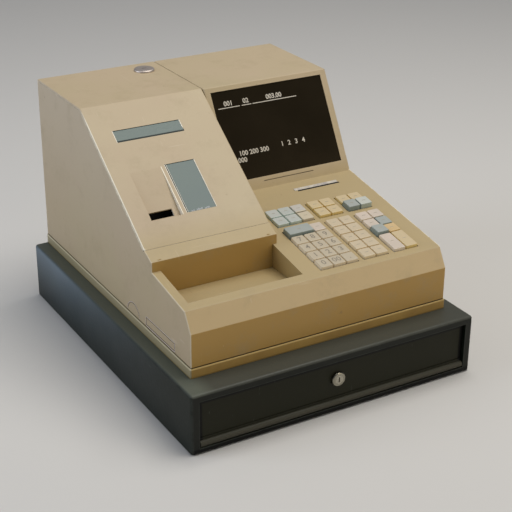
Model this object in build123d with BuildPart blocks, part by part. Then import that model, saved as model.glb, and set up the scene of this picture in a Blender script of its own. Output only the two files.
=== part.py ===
"""Electronic counter register: a two-station printer tower, a display hood and a sloping
keyboard deck, standing on a steel cash drawer.

Millimetres. X runs to the right, Y to the back and Z up. The origin is at the middle of
the footprint, on the surface that the rubber feet stand on.
"""
from build123d import *
import os
from math import cos, hypot, radians, sin, sqrt, tan

os.makedirs("parts", exist_ok=True)

# ---------------------------------------------------------------- driving dimensions
# Steel drawer cabinet
CABINET_WIDTH = 410
CABINET_DEPTH = 488
CABINET_HEIGHT = 79
CABINET_SHEET = 1.6
CABINET_EDGE_RADIUS = 4
FRAME_SIDE = 11
FRAME_TOP = 10
FRAME_BOTTOM = 5.5
FRAME_RETURN = 11
FOOT_HEIGHT = 2
FOOT_RADIUS = 9
FOOT_INSET = 32

# Register body
BODY_WIDTH = 370
BODY_FRONT_SETBACK = 38
BODY_BACK_SETBACK = 3
WALL = 3
BASE_HEIGHT = 12.8
BASE_PROUD = 1.2
BASE_FLOOR = 2
SEAM_HEIGHT = 0.9
SEAM_DEPTH = 1.5
FRONT_FACE_HEIGHT = 44.8
NOSE_RUN = 14.5
NOSE_RISE = 24.4
DECK_RUN = 209.9
DECK_SLOPE = 9.35
EDGE_RADIUS = 1.6

# Printer tower, on the left
TOWER_WIDTH = 176.2
LIP_SETBACK = 100
LIP_RISE = 13
BAND_RUN = 18.8
BAND_RISE = 8.5
TOWER_SLOPE = 34.95
BODY_TOP = 325.5
COVER_THICKNESS = 3
COVER_GAP = 0.3
COVER_FLANGE = 8
FLANGE_THICKNESS = 2

# Display hood, on the right
HOOD_SLOPE = 60.6
HOOD_GAP = 0.5

# Keys
KEY_PITCH = 19
KEY_GAP = 0.8
KEY_TAPER = 0.5
KEY_CORNER = 1.4
KEY_CHAMFER = 0.6
KEY_SKIRT = 6
KEY_RISE = 4
KEY_RISE_LOW = 3
KEY_RISE_TALL = 7
KEY_TRAVEL = 2.5
STEM_SIZE = 5
STEM_LENGTH = 10
OPENING_GAP = 0.5

# Running fits, and how far a cutting tool runs past the surface it opens
SHAFT_CLEARANCE = 0.05
SEAT_GAP = 0.3
CUT_PAST = 1

# ---------------------------------------------------------------- derived places
cabinet_front = -CABINET_DEPTH / 2
cabinet_back = CABINET_DEPTH / 2
cabinet_top = FOOT_HEIGHT + CABINET_HEIGHT
cabinet_floor = FOOT_HEIGHT + CABINET_SHEET
cabinet_inner_x = CABINET_WIDTH / 2 - CABINET_SHEET
cabinet_inner_back = cabinet_back - CABINET_SHEET
opening_half_width = CABINET_WIDTH / 2 - FRAME_SIDE
opening_bottom = FOOT_HEIGHT + FRAME_BOTTOM
opening_top = cabinet_top - FRAME_TOP

body_half = BODY_WIDTH / 2
body_front = cabinet_front + BODY_FRONT_SETBACK
body_back = cabinet_back - BODY_BACK_SETBACK
base_top = cabinet_top + BASE_HEIGHT
base_inner_floor = cabinet_top + BASE_FLOOR
face_top = base_top + FRONT_FACE_HEIGHT
nose_y = body_front + NOSE_RUN
nose_z = face_top + NOSE_RISE
deck_tilt = radians(DECK_SLOPE)
deck_back_y = nose_y + DECK_RUN
deck_back_z = nose_z + DECK_RUN * tan(deck_tilt)

tower_right = -body_half + TOWER_WIDTH
lip_y = body_front + LIP_SETBACK
lip_top = nose_z + (lip_y - nose_y) * tan(deck_tilt) + LIP_RISE
kink_y = lip_y + BAND_RUN
kink_z = lip_top + BAND_RISE
tower_tilt = radians(TOWER_SLOPE)
shoulder_y = kink_y + (BODY_TOP - kink_z) / tan(tower_tilt)

hood_left = tower_right + HOOD_GAP
hood_tilt = radians(HOOD_SLOPE)
hood_head_y = deck_back_y + (BODY_TOP - deck_back_z) / tan(hood_tilt)

# Planes whose normals stand on the sloping faces: local Y climbs the slope.
def sloping_plane(y, z, tilt):
    """Plane through the line at y and z, tilted up towards the back."""
    return Plane(origin=(0, y, z), x_dir=(1, 0, 0), z_dir=(0, -sin(tilt), cos(tilt)))


deck_plane = sloping_plane(nose_y, nose_z, deck_tilt)
tower_plane = sloping_plane(kink_y, kink_z, tower_tilt)
hood_plane = sloping_plane(deck_back_y, deck_back_z, hood_tilt)


def tower_section(x):
    """Upright plane across the tower at x: local X climbs the slope, local Y leaves it."""
    return Plane(origin=(x, kink_y, kink_z), x_dir=(0, cos(tower_tilt), sin(tower_tilt)), z_dir=(1, 0, 0))


def on_tower(run, rise):
    """World Y and Z of a point that lies run up the tower's slope and rise above it."""
    y = kink_y + run * cos(tower_tilt) - rise * sin(tower_tilt)
    z = kink_z + run * sin(tower_tilt) + rise * cos(tower_tilt)
    return y, z


def body_outline(bottom):
    """Side outline of the keyboard body, from the bottom up the front and over the deck."""
    return [
        (body_front, bottom),
        (body_front, face_top),
        (nose_y, nose_z),
        (deck_back_y, deck_back_z),
        (body_back, deck_back_z),
        (body_back, bottom),
    ]


def tower_outline(bottom):
    """Side outline of the printer tower: lip, band, slope and flat top."""
    return [
        (lip_y, bottom),
        (lip_y, lip_top),
        (kink_y, kink_z),
        (shoulder_y, BODY_TOP),
        (body_back, BODY_TOP),
        (body_back, bottom),
    ]


def hood_outline(bottom):
    """Side outline of the display hood: sloping face and flat top."""
    foot_y = deck_back_y - (deck_back_z - bottom) / tan(hood_tilt)
    return [
        (foot_y, bottom),
        (hood_head_y, BODY_TOP),
        (body_back, BODY_TOP),
        (body_back, bottom),
    ]


# ---------------------------------------------------------------- drawer cabinet
# Folded and welded sheet-steel box, open at the front inside a narrow frame.
with BuildPart() as drawer_cabinet:
    with Locations((0, 0, FOOT_HEIGHT)):
        Box(CABINET_WIDTH, CABINET_DEPTH, CABINET_HEIGHT, align=(Align.CENTER, Align.CENTER, Align.MIN))
    fillet(edges().filter_by(Axis.Z) + edges().group_by(Axis.Z)[-1], radius=CABINET_EDGE_RADIUS)
    with Locations((0, 0, cabinet_floor)):
        Box(
            2 * cabinet_inner_x,
            2 * cabinet_inner_back,
            CABINET_HEIGHT - 2 * CABINET_SHEET,
            align=(Align.CENTER, Align.CENTER, Align.MIN),
            mode=Mode.SUBTRACT,
        )
    # The frame's inner edges are folded back into the box.
    with Locations((0, cabinet_front, opening_bottom - CABINET_SHEET)):
        Box(
            2 * (opening_half_width + CABINET_SHEET),
            FRAME_RETURN,
            opening_top - opening_bottom + 2 * CABINET_SHEET,
            align=(Align.CENTER, Align.MIN, Align.MIN),
        )
    with Locations((0, cabinet_front, opening_bottom)):
        Box(
            2 * opening_half_width,
            2 * (FRAME_RETURN + CUT_PAST),
            opening_top - opening_bottom,
            align=(Align.CENTER, Align.CENTER, Align.MIN),
            mode=Mode.SUBTRACT,
        )
drawer_cabinet.part.label = "drawer_cabinet"
export_step(drawer_cabinet.part, "parts/drawer_cabinet.step")

# Four bonded rubber feet.
with BuildPart() as rubber_feet:
    with BuildSketch():
        with GridLocations(CABINET_WIDTH - 2 * FOOT_INSET, CABINET_DEPTH - 2 * FOOT_INSET, 2, 2):
            Circle(FOOT_RADIUS)
    extrude(amount=FOOT_HEIGHT)
rubber_feet.part.label = "rubber_feet"
export_step(rubber_feet.part, "parts/rubber_feet.step")

# ---------------------------------------------------------------- drawer runners
SLIDE_HEIGHT = 30
SLIDE_SHEET = 1.5
SLIDE_BAR_THICKNESS = 3.4
SLIDE_CENTRE_Z = 36
SLIDE_SETBACK = 16
SLIDE_END_ROOM = 50.4
BAR_SIDE_CLEARANCE = 0.6
channel_inner_height = SLIDE_HEIGHT - 2 * SLIDE_SHEET
bar_outer_x = opening_half_width - BAR_SIDE_CLEARANCE
drawer_half_width = bar_outer_x - SLIDE_BAR_THICKNESS
channel_depth = cabinet_inner_x - drawer_half_width - BAR_SIDE_CLEARANCE
slide_front = cabinet_front + SLIDE_SETBACK
slide_length = cabinet_inner_back - SLIDE_END_ROOM - slide_front

# Channels screwed to the cabinet's sides, open towards the drawer.
with BuildPart() as cabinet_slides:
    with BuildSketch(Plane.XZ.offset(-slide_front)):
        for side in (-1, 1):
            with Locations((side * (cabinet_inner_x - channel_depth / 2), SLIDE_CENTRE_Z)):
                Rectangle(channel_depth, SLIDE_HEIGHT)
            with Locations((side * (cabinet_inner_x - channel_depth / 2 - SLIDE_SHEET), SLIDE_CENTRE_Z)):
                Rectangle(channel_depth, channel_inner_height, mode=Mode.SUBTRACT)
    extrude(amount=-slide_length)
cabinet_slides.part.label = "cabinet_slides"
export_step(cabinet_slides.part, "parts/cabinet_slides.step")

# Bars riveted to the drawer's sides, which run in the channels.
with BuildPart() as drawer_slides:
    with BuildSketch(Plane.XZ.offset(-slide_front)):
        for side in (-1, 1):
            with Locations((side * (bar_outer_x - SLIDE_BAR_THICKNESS / 2), SLIDE_CENTRE_Z)):
                Rectangle(SLIDE_BAR_THICKNESS, channel_inner_height - 2 * SEAT_GAP)
    extrude(amount=-slide_length)
drawer_slides.part.label = "drawer_slides"
export_step(drawer_slides.part, "parts/drawer_slides.step")

# ---------------------------------------------------------------- drawer
DRAWER_SHEET = 1.5
DRAWER_BACK_ROOM = 37.4
DRAWER_FLOOR_CLEARANCE = 0.7
DRAWER_TOP_Z = 60
FRONT_RECESS = 5
FRONT_SHEET = 2
FRONT_CLEARANCE = 1.2
LIP_BEAD_RADIUS = 4.3
LIP_BEAD_Z = 12.3
LIP_STEP_Z = 20
LIP_STEP = 1
DRAWER_LOCK_Z = 45
LOCK_BODY_RADIUS = 8
LOCK_HOLE_CLEARANCE = 0.1
front_panel_y = cabinet_front + FRONT_RECESS
drawer_front_y = front_panel_y + FRONT_SHEET
drawer_back_y = cabinet_inner_back - DRAWER_BACK_ROOM
drawer_length = drawer_back_y - drawer_front_y
drawer_floor_z = opening_bottom + DRAWER_FLOOR_CLEARANCE
drawer_inner_floor = drawer_floor_z + DRAWER_SHEET
front_panel_bottom = opening_bottom + FRONT_CLEARANCE

# Folded steel tray that rides on the bars.
with BuildPart() as drawer_box:
    with Locations((0, drawer_front_y, drawer_floor_z)):
        Box(
            2 * drawer_half_width,
            drawer_length,
            DRAWER_TOP_Z - drawer_floor_z,
            align=(Align.CENTER, Align.MIN, Align.MIN),
        )
    with Locations((0, drawer_front_y + DRAWER_SHEET, drawer_inner_floor)):
        Box(
            2 * (drawer_half_width - DRAWER_SHEET),
            drawer_length - 2 * DRAWER_SHEET,
            DRAWER_TOP_Z - drawer_floor_z,
            align=(Align.CENTER, Align.MIN, Align.MIN),
            mode=Mode.SUBTRACT,
        )
    with BuildSketch(Plane.XZ.offset(-drawer_front_y)):
        with Locations((0, DRAWER_LOCK_Z)):
            Circle(LOCK_BODY_RADIUS + LOCK_HOLE_CLEARANCE)
    extrude(amount=-2 * DRAWER_SHEET, mode=Mode.SUBTRACT)
drawer_box.part.label = "drawer_box"
export_step(drawer_box.part, "parts/drawer_box.step")

# Front panel with a rolled pull lip along its lower edge.
with BuildPart() as drawer_front:
    with BuildSketch(Plane.YZ.offset(-opening_half_width + FRONT_CLEARANCE)):
        with Locations((front_panel_y, front_panel_bottom)):
            Rectangle(
                FRONT_SHEET,
                opening_top - FRONT_CLEARANCE - front_panel_bottom,
                align=(Align.MIN, Align.MIN),
            )
        with Locations((front_panel_y - LIP_STEP, front_panel_bottom)):
            Rectangle(
                FRONT_SHEET,
                LIP_STEP_Z - front_panel_bottom,
                align=(Align.MIN, Align.MIN),
            )
        with Locations((cabinet_front + LIP_BEAD_RADIUS, LIP_BEAD_Z)):
            Circle(LIP_BEAD_RADIUS)
        with Locations((drawer_front_y, LIP_BEAD_Z)):
            Rectangle(
                2 * LIP_BEAD_RADIUS,
                2 * LIP_BEAD_RADIUS,
                align=(Align.MIN, Align.CENTER),
                mode=Mode.SUBTRACT,
            )
    extrude(amount=2 * (opening_half_width - FRONT_CLEARANCE))
    with BuildSketch(Plane.XZ.offset(-front_panel_y)):
        with Locations((0, DRAWER_LOCK_Z)):
            Circle(LOCK_BODY_RADIUS + LOCK_HOLE_CLEARANCE)
    extrude(amount=-2 * FRONT_SHEET, mode=Mode.SUBTRACT)
drawer_front.part.label = "drawer_front"
export_step(drawer_front.part, "parts/drawer_front.step")

# ---------------------------------------------------------------- drawer lock
LOCK_HEAD_RADIUS = 9.5
LOCK_HEAD_PROUD = 4.6
LOCK_HEAD_ROUND = 1.8
LOCK_PLUG_RADIUS = 5.5
LOCK_TAIL = 4.5
LOCK_NUT_RADIUS = 11
LOCK_NUT_THICKNESS = 3
KEYWAY_WIDTH = 1.6
KEYWAY_LENGTH = 7
KEYWAY_DEPTH = 3
CAM_THICKNESS = 1.7
CAM_WIDTH = 10
CAM_REACH = 31
CAM_EYE_WALL = 1
lock_head_y = front_panel_y - LOCK_HEAD_PROUD
lock_nut_y = drawer_front_y + DRAWER_SHEET
lock_tail_y = lock_nut_y + LOCK_TAIL
lock_length = lock_tail_y - lock_head_y

# Chromed barrel: round head outside, body through the panel, nut behind it.
with BuildPart() as drawer_lock_barrel:
    with BuildSketch(Plane.XZ.offset(-lock_head_y)):
        with Locations((0, DRAWER_LOCK_Z)):
            Circle(LOCK_HEAD_RADIUS)
    extrude(amount=-LOCK_HEAD_PROUD)
    fillet(edges().group_by(Axis.Y)[0], radius=LOCK_HEAD_ROUND)
    with BuildSketch(Plane.XZ.offset(-front_panel_y)):
        with Locations((0, DRAWER_LOCK_Z)):
            Circle(LOCK_BODY_RADIUS)
    extrude(amount=front_panel_y - lock_tail_y)
    with BuildSketch(Plane.XZ.offset(-lock_nut_y)):
        with Locations((0, DRAWER_LOCK_Z)):
            RegularPolygon(LOCK_NUT_RADIUS, 6)
    extrude(amount=-LOCK_NUT_THICKNESS)
    with BuildSketch(Plane.XZ.offset(-lock_head_y)):
        with Locations((0, DRAWER_LOCK_Z)):
            Circle(LOCK_PLUG_RADIUS + SHAFT_CLEARANCE)
    extrude(amount=-lock_length, mode=Mode.SUBTRACT)
drawer_lock_barrel.part.label = "drawer_lock_barrel"
export_step(drawer_lock_barrel.part, "parts/drawer_lock_barrel.step")

# Turning plug with its keyway, and the cam that swings up behind the cabinet's frame.
with BuildPart() as drawer_lock_plug:
    with BuildSketch(Plane.XZ.offset(-lock_head_y)):
        with Locations((0, DRAWER_LOCK_Z)):
            Circle(LOCK_PLUG_RADIUS)
    extrude(amount=-lock_length)
    with BuildSketch(Plane.XZ.offset(-lock_head_y)):
        with Locations((0, DRAWER_LOCK_Z)):
            Rectangle(KEYWAY_WIDTH, KEYWAY_LENGTH)
    extrude(amount=-KEYWAY_DEPTH, mode=Mode.SUBTRACT)
    with BuildSketch(Plane.XZ.offset(-lock_tail_y)):
        with Locations((0, DRAWER_LOCK_Z)):
            Circle(CAM_WIDTH / 2 + CAM_EYE_WALL)
            Rectangle(CAM_REACH, CAM_WIDTH, align=(Align.MIN, Align.CENTER))
    extrude(amount=-CAM_THICKNESS)
drawer_lock_plug.part.label = "drawer_lock_plug"
export_step(drawer_lock_plug.part, "parts/drawer_lock_plug.step")

# ---------------------------------------------------------------- till insert
TILL_SIDE_GAP = 1.5
TILL_LENGTH = 300
TILL_TOP_Z = 54
TILL_WALL = 2.5
TILL_COLUMNS = 5
COIN_CUP_LENGTH = 110
COIN_SCOOP_RADIUS = 26
CAM_ROOM = 9.5
CLIP_ROD_RADIUS = 2
CLIP_ROD_Z = 46
CLIP_ROD_INSET = 9
till_width = 2 * (drawer_half_width - DRAWER_SHEET - TILL_SIDE_GAP)
till_front = drawer_front_y + DRAWER_SHEET + CAM_ROOM
till_back = till_front + TILL_LENGTH
till_bottom = drawer_inner_floor + SEAT_GAP
cup_floor = till_bottom + TILL_WALL
column_pitch = (till_width - TILL_WALL) / TILL_COLUMNS
cup_width = column_pitch - TILL_WALL
bill_length = TILL_LENGTH - COIN_CUP_LENGTH - 3 * TILL_WALL
bill_front = till_front + COIN_CUP_LENGTH + 2 * TILL_WALL
clip_rod_y = till_back - TILL_WALL - CLIP_ROD_INSET
column_centres = [(index - (TILL_COLUMNS - 1) / 2) * column_pitch for index in range(TILL_COLUMNS)]

# Moulded insert: scooped coin cups in front, banknote bays behind.
with BuildPart() as till_insert:
    with Locations((0, till_front, till_bottom)):
        Box(till_width, TILL_LENGTH, TILL_TOP_Z - till_bottom, align=(Align.CENTER, Align.MIN, Align.MIN))
    for column_x in column_centres:
        with BuildSketch(Plane.YZ.offset(column_x - cup_width / 2)):
            with Locations((till_front + TILL_WALL, cup_floor)):
                Rectangle(COIN_CUP_LENGTH, 2 * TILL_TOP_Z, align=(Align.MIN, Align.MIN))
            fillet(vertices().group_by(Axis.Y)[0], radius=COIN_SCOOP_RADIUS)
        extrude(amount=cup_width, mode=Mode.SUBTRACT)
        with Locations((column_x, bill_front, cup_floor)):
            Box(
                cup_width,
                bill_length,
                TILL_TOP_Z,
                align=(Align.CENTER, Align.MIN, Align.MIN),
                mode=Mode.SUBTRACT,
            )
    with BuildSketch(Plane.YZ.offset(-till_width / 2)):
        with Locations((clip_rod_y, CLIP_ROD_Z)):
            Circle(CLIP_ROD_RADIUS + SHAFT_CLEARANCE)
    extrude(amount=till_width, mode=Mode.SUBTRACT)
till_insert.part.label = "till_insert"
export_step(till_insert.part, "parts/till_insert.step")

# Steel rod through the bay walls, on which the banknote clips turn.
with BuildPart() as clip_rod:
    with BuildSketch(Plane.YZ.offset(-till_width / 2)):
        with Locations((clip_rod_y, CLIP_ROD_Z)):
            Circle(CLIP_ROD_RADIUS)
    extrude(amount=till_width)
clip_rod.part.label = "clip_rod"
export_step(clip_rod.part, "parts/clip_rod.step")

CLIP_WIDTH = 16
CLIP_HUB_RADIUS = 4.5
CLIP_LENGTH = 104
CLIP_THICKNESS = 2.4
CLIP_FOOT = 14
clip_drop = CLIP_ROD_Z - cup_floor - SEAT_GAP - CLIP_THICKNESS / 2
clip_tip_y = clip_rod_y - CLIP_LENGTH

# Five clips: a hub on the rod, an arm that slopes down and a flat foot on the notes.
with BuildPart() as bill_clips:
    for column_x in column_centres:
        with BuildSketch(Plane.YZ.offset(column_x - CLIP_WIDTH / 2)):
            with BuildLine():
                Polyline(
                    (clip_rod_y, CLIP_ROD_Z),
                    (clip_tip_y + CLIP_FOOT, CLIP_ROD_Z - clip_drop),
                    (clip_tip_y, CLIP_ROD_Z - clip_drop),
                )
                offset(amount=CLIP_THICKNESS / 2)
            make_face()
            with Locations((clip_rod_y, CLIP_ROD_Z)):
                Circle(CLIP_HUB_RADIUS)
                Circle(CLIP_ROD_RADIUS + SHAFT_CLEARANCE, mode=Mode.SUBTRACT)
        extrude(amount=CLIP_WIDTH)
bill_clips.part.label = "bill_clips"
export_step(bill_clips.part, "parts/bill_clips.step")

# ---------------------------------------------------------------- drawer release
SPRING_INSET = 113.4
SPRING_SPAN = 110
SPRING_THICKNESS = 1.2
SPRING_WIDTH = 18
SPRING_Z = 26
spring_x = -cabinet_inner_x + SPRING_INSET
spring_rise = cabinet_inner_back - drawer_back_y - SEAT_GAP - SPRING_THICKNESS

# Bowed leaf on the cabinet's back wall that pushes the drawer open.
with BuildPart() as kick_spring:
    with BuildSketch(Plane.XY.offset(SPRING_Z)):
        with BuildLine():
            ThreePointArc(
                (spring_x - SPRING_SPAN / 2, cabinet_inner_back),
                (spring_x, cabinet_inner_back - spring_rise - SPRING_THICKNESS),
                (spring_x + SPRING_SPAN / 2, cabinet_inner_back),
            )
            Line(
                (spring_x + SPRING_SPAN / 2, cabinet_inner_back),
                (spring_x + SPRING_SPAN / 2 - 2 * SPRING_THICKNESS, cabinet_inner_back),
            )
            ThreePointArc(
                (spring_x + SPRING_SPAN / 2 - 2 * SPRING_THICKNESS, cabinet_inner_back),
                (spring_x, cabinet_inner_back - spring_rise),
                (spring_x - SPRING_SPAN / 2 + 2 * SPRING_THICKNESS, cabinet_inner_back),
            )
            Line(
                (spring_x - SPRING_SPAN / 2 + 2 * SPRING_THICKNESS, cabinet_inner_back),
                (spring_x - SPRING_SPAN / 2, cabinet_inner_back),
            )
        make_face()
    extrude(amount=SPRING_WIDTH)
kick_spring.part.label = "kick_spring"
export_step(kick_spring.part, "parts/kick_spring.step")

LATCH_X = 60
SOLENOID_WIDTH = 34
SOLENOID_DEPTH = 30
SOLENOID_HEIGHT = 34
SOLENOID_Z = 22
EAR_THICKNESS = 2
EAR_HEIGHT = 14
EAR_MARGIN = 3
LEVER_THICKNESS = 3
LEVER_SIDE_GAP = 0.3
LATCH_PIN_RADIUS = 2
LATCH_PIN_HEIGHT = 66
LATCH_PIN_INSET = 17
LEVER_REACH = 33
LEVER_HEIGHT = 5
LEVER_EYE_WALL = 2.2
HOOK_LENGTH = 7
HOOK_CLEARANCE = 0.8
latch_pin_y = cabinet_inner_back - LATCH_PIN_INSET
hook_bottom = DRAWER_TOP_Z + HOOK_CLEARANCE

# Release solenoid on the back wall, with the two ears that carry the latch pin.
with BuildPart() as latch_solenoid:
    with Locations((LATCH_X, cabinet_inner_back, SOLENOID_Z)):
        Box(SOLENOID_WIDTH, SOLENOID_DEPTH, SOLENOID_HEIGHT, align=(Align.CENTER, Align.MAX, Align.MIN))
    for side in (-1, 1):
        ear_x = LATCH_X + side * (LEVER_THICKNESS / 2 + LEVER_SIDE_GAP + EAR_THICKNESS / 2)
        with Locations((ear_x, latch_pin_y, SOLENOID_Z + SOLENOID_HEIGHT)):
            Box(
                EAR_THICKNESS,
                2 * (LATCH_PIN_RADIUS + EAR_MARGIN),
                EAR_HEIGHT,
                align=(Align.CENTER, Align.CENTER, Align.MIN),
            )
    with BuildSketch(Plane.YZ.offset(LATCH_X - SOLENOID_WIDTH / 2)):
        with Locations((latch_pin_y, LATCH_PIN_HEIGHT)):
            Circle(LATCH_PIN_RADIUS + SHAFT_CLEARANCE)
    extrude(amount=SOLENOID_WIDTH, mode=Mode.SUBTRACT)
latch_solenoid.part.label = "latch_solenoid"
export_step(latch_solenoid.part, "parts/latch_solenoid.step")

# Hooked lever with its pin; it drops in front of the drawer's back wall to hold it shut.
with BuildPart() as latch_lever:
    with BuildSketch(Plane.YZ.offset(LATCH_X - LEVER_THICKNESS / 2)):
        with Locations((latch_pin_y, LATCH_PIN_HEIGHT)):
            Circle(LATCH_PIN_RADIUS + LEVER_EYE_WALL)
            Rectangle(LEVER_REACH, LEVER_HEIGHT, align=(Align.MAX, Align.CENTER))
        with Locations((latch_pin_y - LEVER_REACH, hook_bottom)):
            Rectangle(HOOK_LENGTH, LATCH_PIN_HEIGHT - hook_bottom, align=(Align.MIN, Align.MIN))
    extrude(amount=LEVER_THICKNESS)
    with BuildSketch(Plane.YZ.offset(LATCH_X - LEVER_THICKNESS / 2 - LEVER_SIDE_GAP - EAR_THICKNESS)):
        with Locations((latch_pin_y, LATCH_PIN_HEIGHT)):
            Circle(LATCH_PIN_RADIUS)
    extrude(amount=LEVER_THICKNESS + 2 * (LEVER_SIDE_GAP + EAR_THICKNESS))
latch_lever.part.label = "latch_lever"
export_step(latch_lever.part, "parts/latch_lever.step")

# ---------------------------------------------------------------- base tray
BOARD_POST_HEIGHT = 7
BOARD_POST_RADIUS = 3
BOARD_WIDTH = 340
BOARD_DEPTH = 106
BOARD_THICKNESS = 1.6
BOARD_FRONT_GAP = 10
BOARD_POST_INSET = 8
PACKAGE_SIZE = (15, 28, 4.5)
PACKAGE_PITCH = (52, 36)
PACKAGE_COUNT = (6, 2)
board_y = body_front + WALL + BOARD_FRONT_GAP + BOARD_DEPTH / 2
board_z = base_inner_floor + BOARD_POST_HEIGHT

# Shallow pan under the register; its rim stands a little proud of the housing.
with BuildPart() as base_tray:
    with Locations((0, body_front - BASE_PROUD, cabinet_top)):
        Box(
            BODY_WIDTH + 2 * BASE_PROUD,
            body_back - body_front + 2 * BASE_PROUD,
            BASE_HEIGHT,
            align=(Align.CENTER, Align.MIN, Align.MIN),
        )
    fillet(edges().filter_by(Axis.Z), radius=EDGE_RADIUS)
    with Locations((0, body_front + WALL, base_inner_floor)):
        Box(
            BODY_WIDTH - 2 * WALL,
            body_back - body_front - 2 * WALL,
            BASE_HEIGHT,
            align=(Align.CENTER, Align.MIN, Align.MIN),
            mode=Mode.SUBTRACT,
        )
    with BuildSketch(Plane.XY.offset(base_inner_floor)):
        with Locations((0, board_y)):
            with GridLocations(BOARD_WIDTH - 2 * BOARD_POST_INSET, BOARD_DEPTH - 2 * BOARD_POST_INSET, 2, 2):
                Circle(BOARD_POST_RADIUS)
    extrude(amount=BOARD_POST_HEIGHT)
base_tray.part.label = "base_tray"
export_step(base_tray.part, "parts/base_tray.step")

# Logic board on the pan's posts, with its larger packages.
with BuildPart() as main_board:
    with Locations((0, board_y, board_z)):
        Box(BOARD_WIDTH, BOARD_DEPTH, BOARD_THICKNESS, align=(Align.CENTER, Align.CENTER, Align.MIN))
    with Locations((0, board_y, board_z + BOARD_THICKNESS)):
        with GridLocations(*PACKAGE_PITCH, *PACKAGE_COUNT):
            Box(*PACKAGE_SIZE, align=(Align.CENTER, Align.CENTER, Align.MIN))
main_board.part.label = "main_board"
export_step(main_board.part, "parts/main_board.step")

# ---------------------------------------------------------------- main housing
TRAY_LEFT_RIM = 12
TRAY_RIGHT = -15
TRAY_FRONT_RUN = 13.5
TRAY_FLOOR_Z = 144.8
HOOD_LEDGE = 30
HOOD_SIDE_LEDGE = 9
KEY_GROUP_X = (38.7, 93.5, 139.5)
KEY_GROUP_COLUMNS = (3, 2, 2)
LOWER_GROUP_RUN = 59
LOWER_GROUP_ROWS = 5
UPPER_GROUP_RUN = 136
UPPER_GROUP_ROWS = 2
HINGE_BACK = -8
HINGE_DEPTH = 8.5
HINGE_PIN_RADIUS = 2
HINGE_BRACKET_RADIUS = 4.5
HINGE_BRACKET_THICKNESS = 4
HINGE_EAR_THICKNESS = 4
NECK_RADIUS = 9.5
NECK_WIDTH = 5
NECK_EYE_WALL = 2
HINGE_END_INSET = 12
CATCH_THICKNESS = 3
CATCH_REACH = 10
CATCH_WIDTH = 24
COVER_LOCK_X = -40
COVER_LOCK_INSET = 34.5
COVER_BARREL_LENGTH = 24
VENT_COUNT = 9
VENT_PITCH = 14
VENT_WIDTH = 4
VENT_HEIGHT = 46
VENT_X = 80
VENT_Z = 150
INLET_X = -150
INLET_Z = 112
INLET_BODY_RADIUS = 7
SCREW_HOLE_RADIUS = 2.1
SCREW_BOSS_RADIUS = 5
SCREW_BOSS_LENGTH = 12
SCREW_HOLE_DEPTH = 13
SCREW_Z = 106
SCREW_INSET = 16
GROOVE = 1
KNOCKOUT_GROOVE = 0.8
PLUG_Y = -49
PLUG_RADIUS = 18
PLUG_HEIGHT = 14
PANEL_KNOCKOUT_Y = (-164, -86)
PANEL_KNOCKOUT_HEIGHT = 11
KNOCKOUT_RISE = 3.2
LIP_RADIUS = 1.2
tray_left = -body_half + TRAY_LEFT_RIM
tray_front = nose_y + TRAY_FRONT_RUN * cos(deck_tilt)
pin_y, pin_z = on_tower(HINGE_BACK, -HINGE_DEPTH)
cover_lock_y = body_back - COVER_LOCK_INSET
catch_z = BODY_TOP - COVER_BARREL_LENGTH + SEAT_GAP
knockout_z = base_top + KNOCKOUT_RISE
slab = COVER_THICKNESS + COVER_GAP
bracket_places = (-body_half + HINGE_END_INSET, tower_right - HINGE_END_INSET)
housing_screws = [(side * (body_half - SCREW_INSET), SCREW_Z) for side in (-1, 1)]

# The room inside the housing, less the block that the change tray is sunk in.
with BuildPart() as housing_room:
    with BuildSketch(Plane.YZ.offset(-body_half + WALL)):
        with BuildLine():
            Polyline(*body_outline(base_top - 2 * WALL), close=True)
        make_face()
        offset(amount=-WALL, kind=Kind.INTERSECTION, mode=Mode.REPLACE)
    extrude(amount=BODY_WIDTH - 2 * WALL)
    with BuildSketch(Plane.YZ.offset(-body_half + WALL)):
        with BuildLine():
            Polyline(*tower_outline(base_top - 2 * WALL), close=True)
        make_face()
        offset(amount=-WALL, kind=Kind.INTERSECTION, mode=Mode.REPLACE)
    extrude(amount=TOWER_WIDTH - 2 * WALL)
    with Locations((tray_left - WALL, tray_front - WALL, TRAY_FLOOR_Z - WALL)):
        Box(
            TRAY_RIGHT - tray_left + 2 * WALL,
            lip_y - tray_front + 2 * WALL,
            kink_z - TRAY_FLOOR_Z,
            align=(Align.MIN, Align.MIN, Align.MIN),
            mode=Mode.SUBTRACT,
        )

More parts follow.
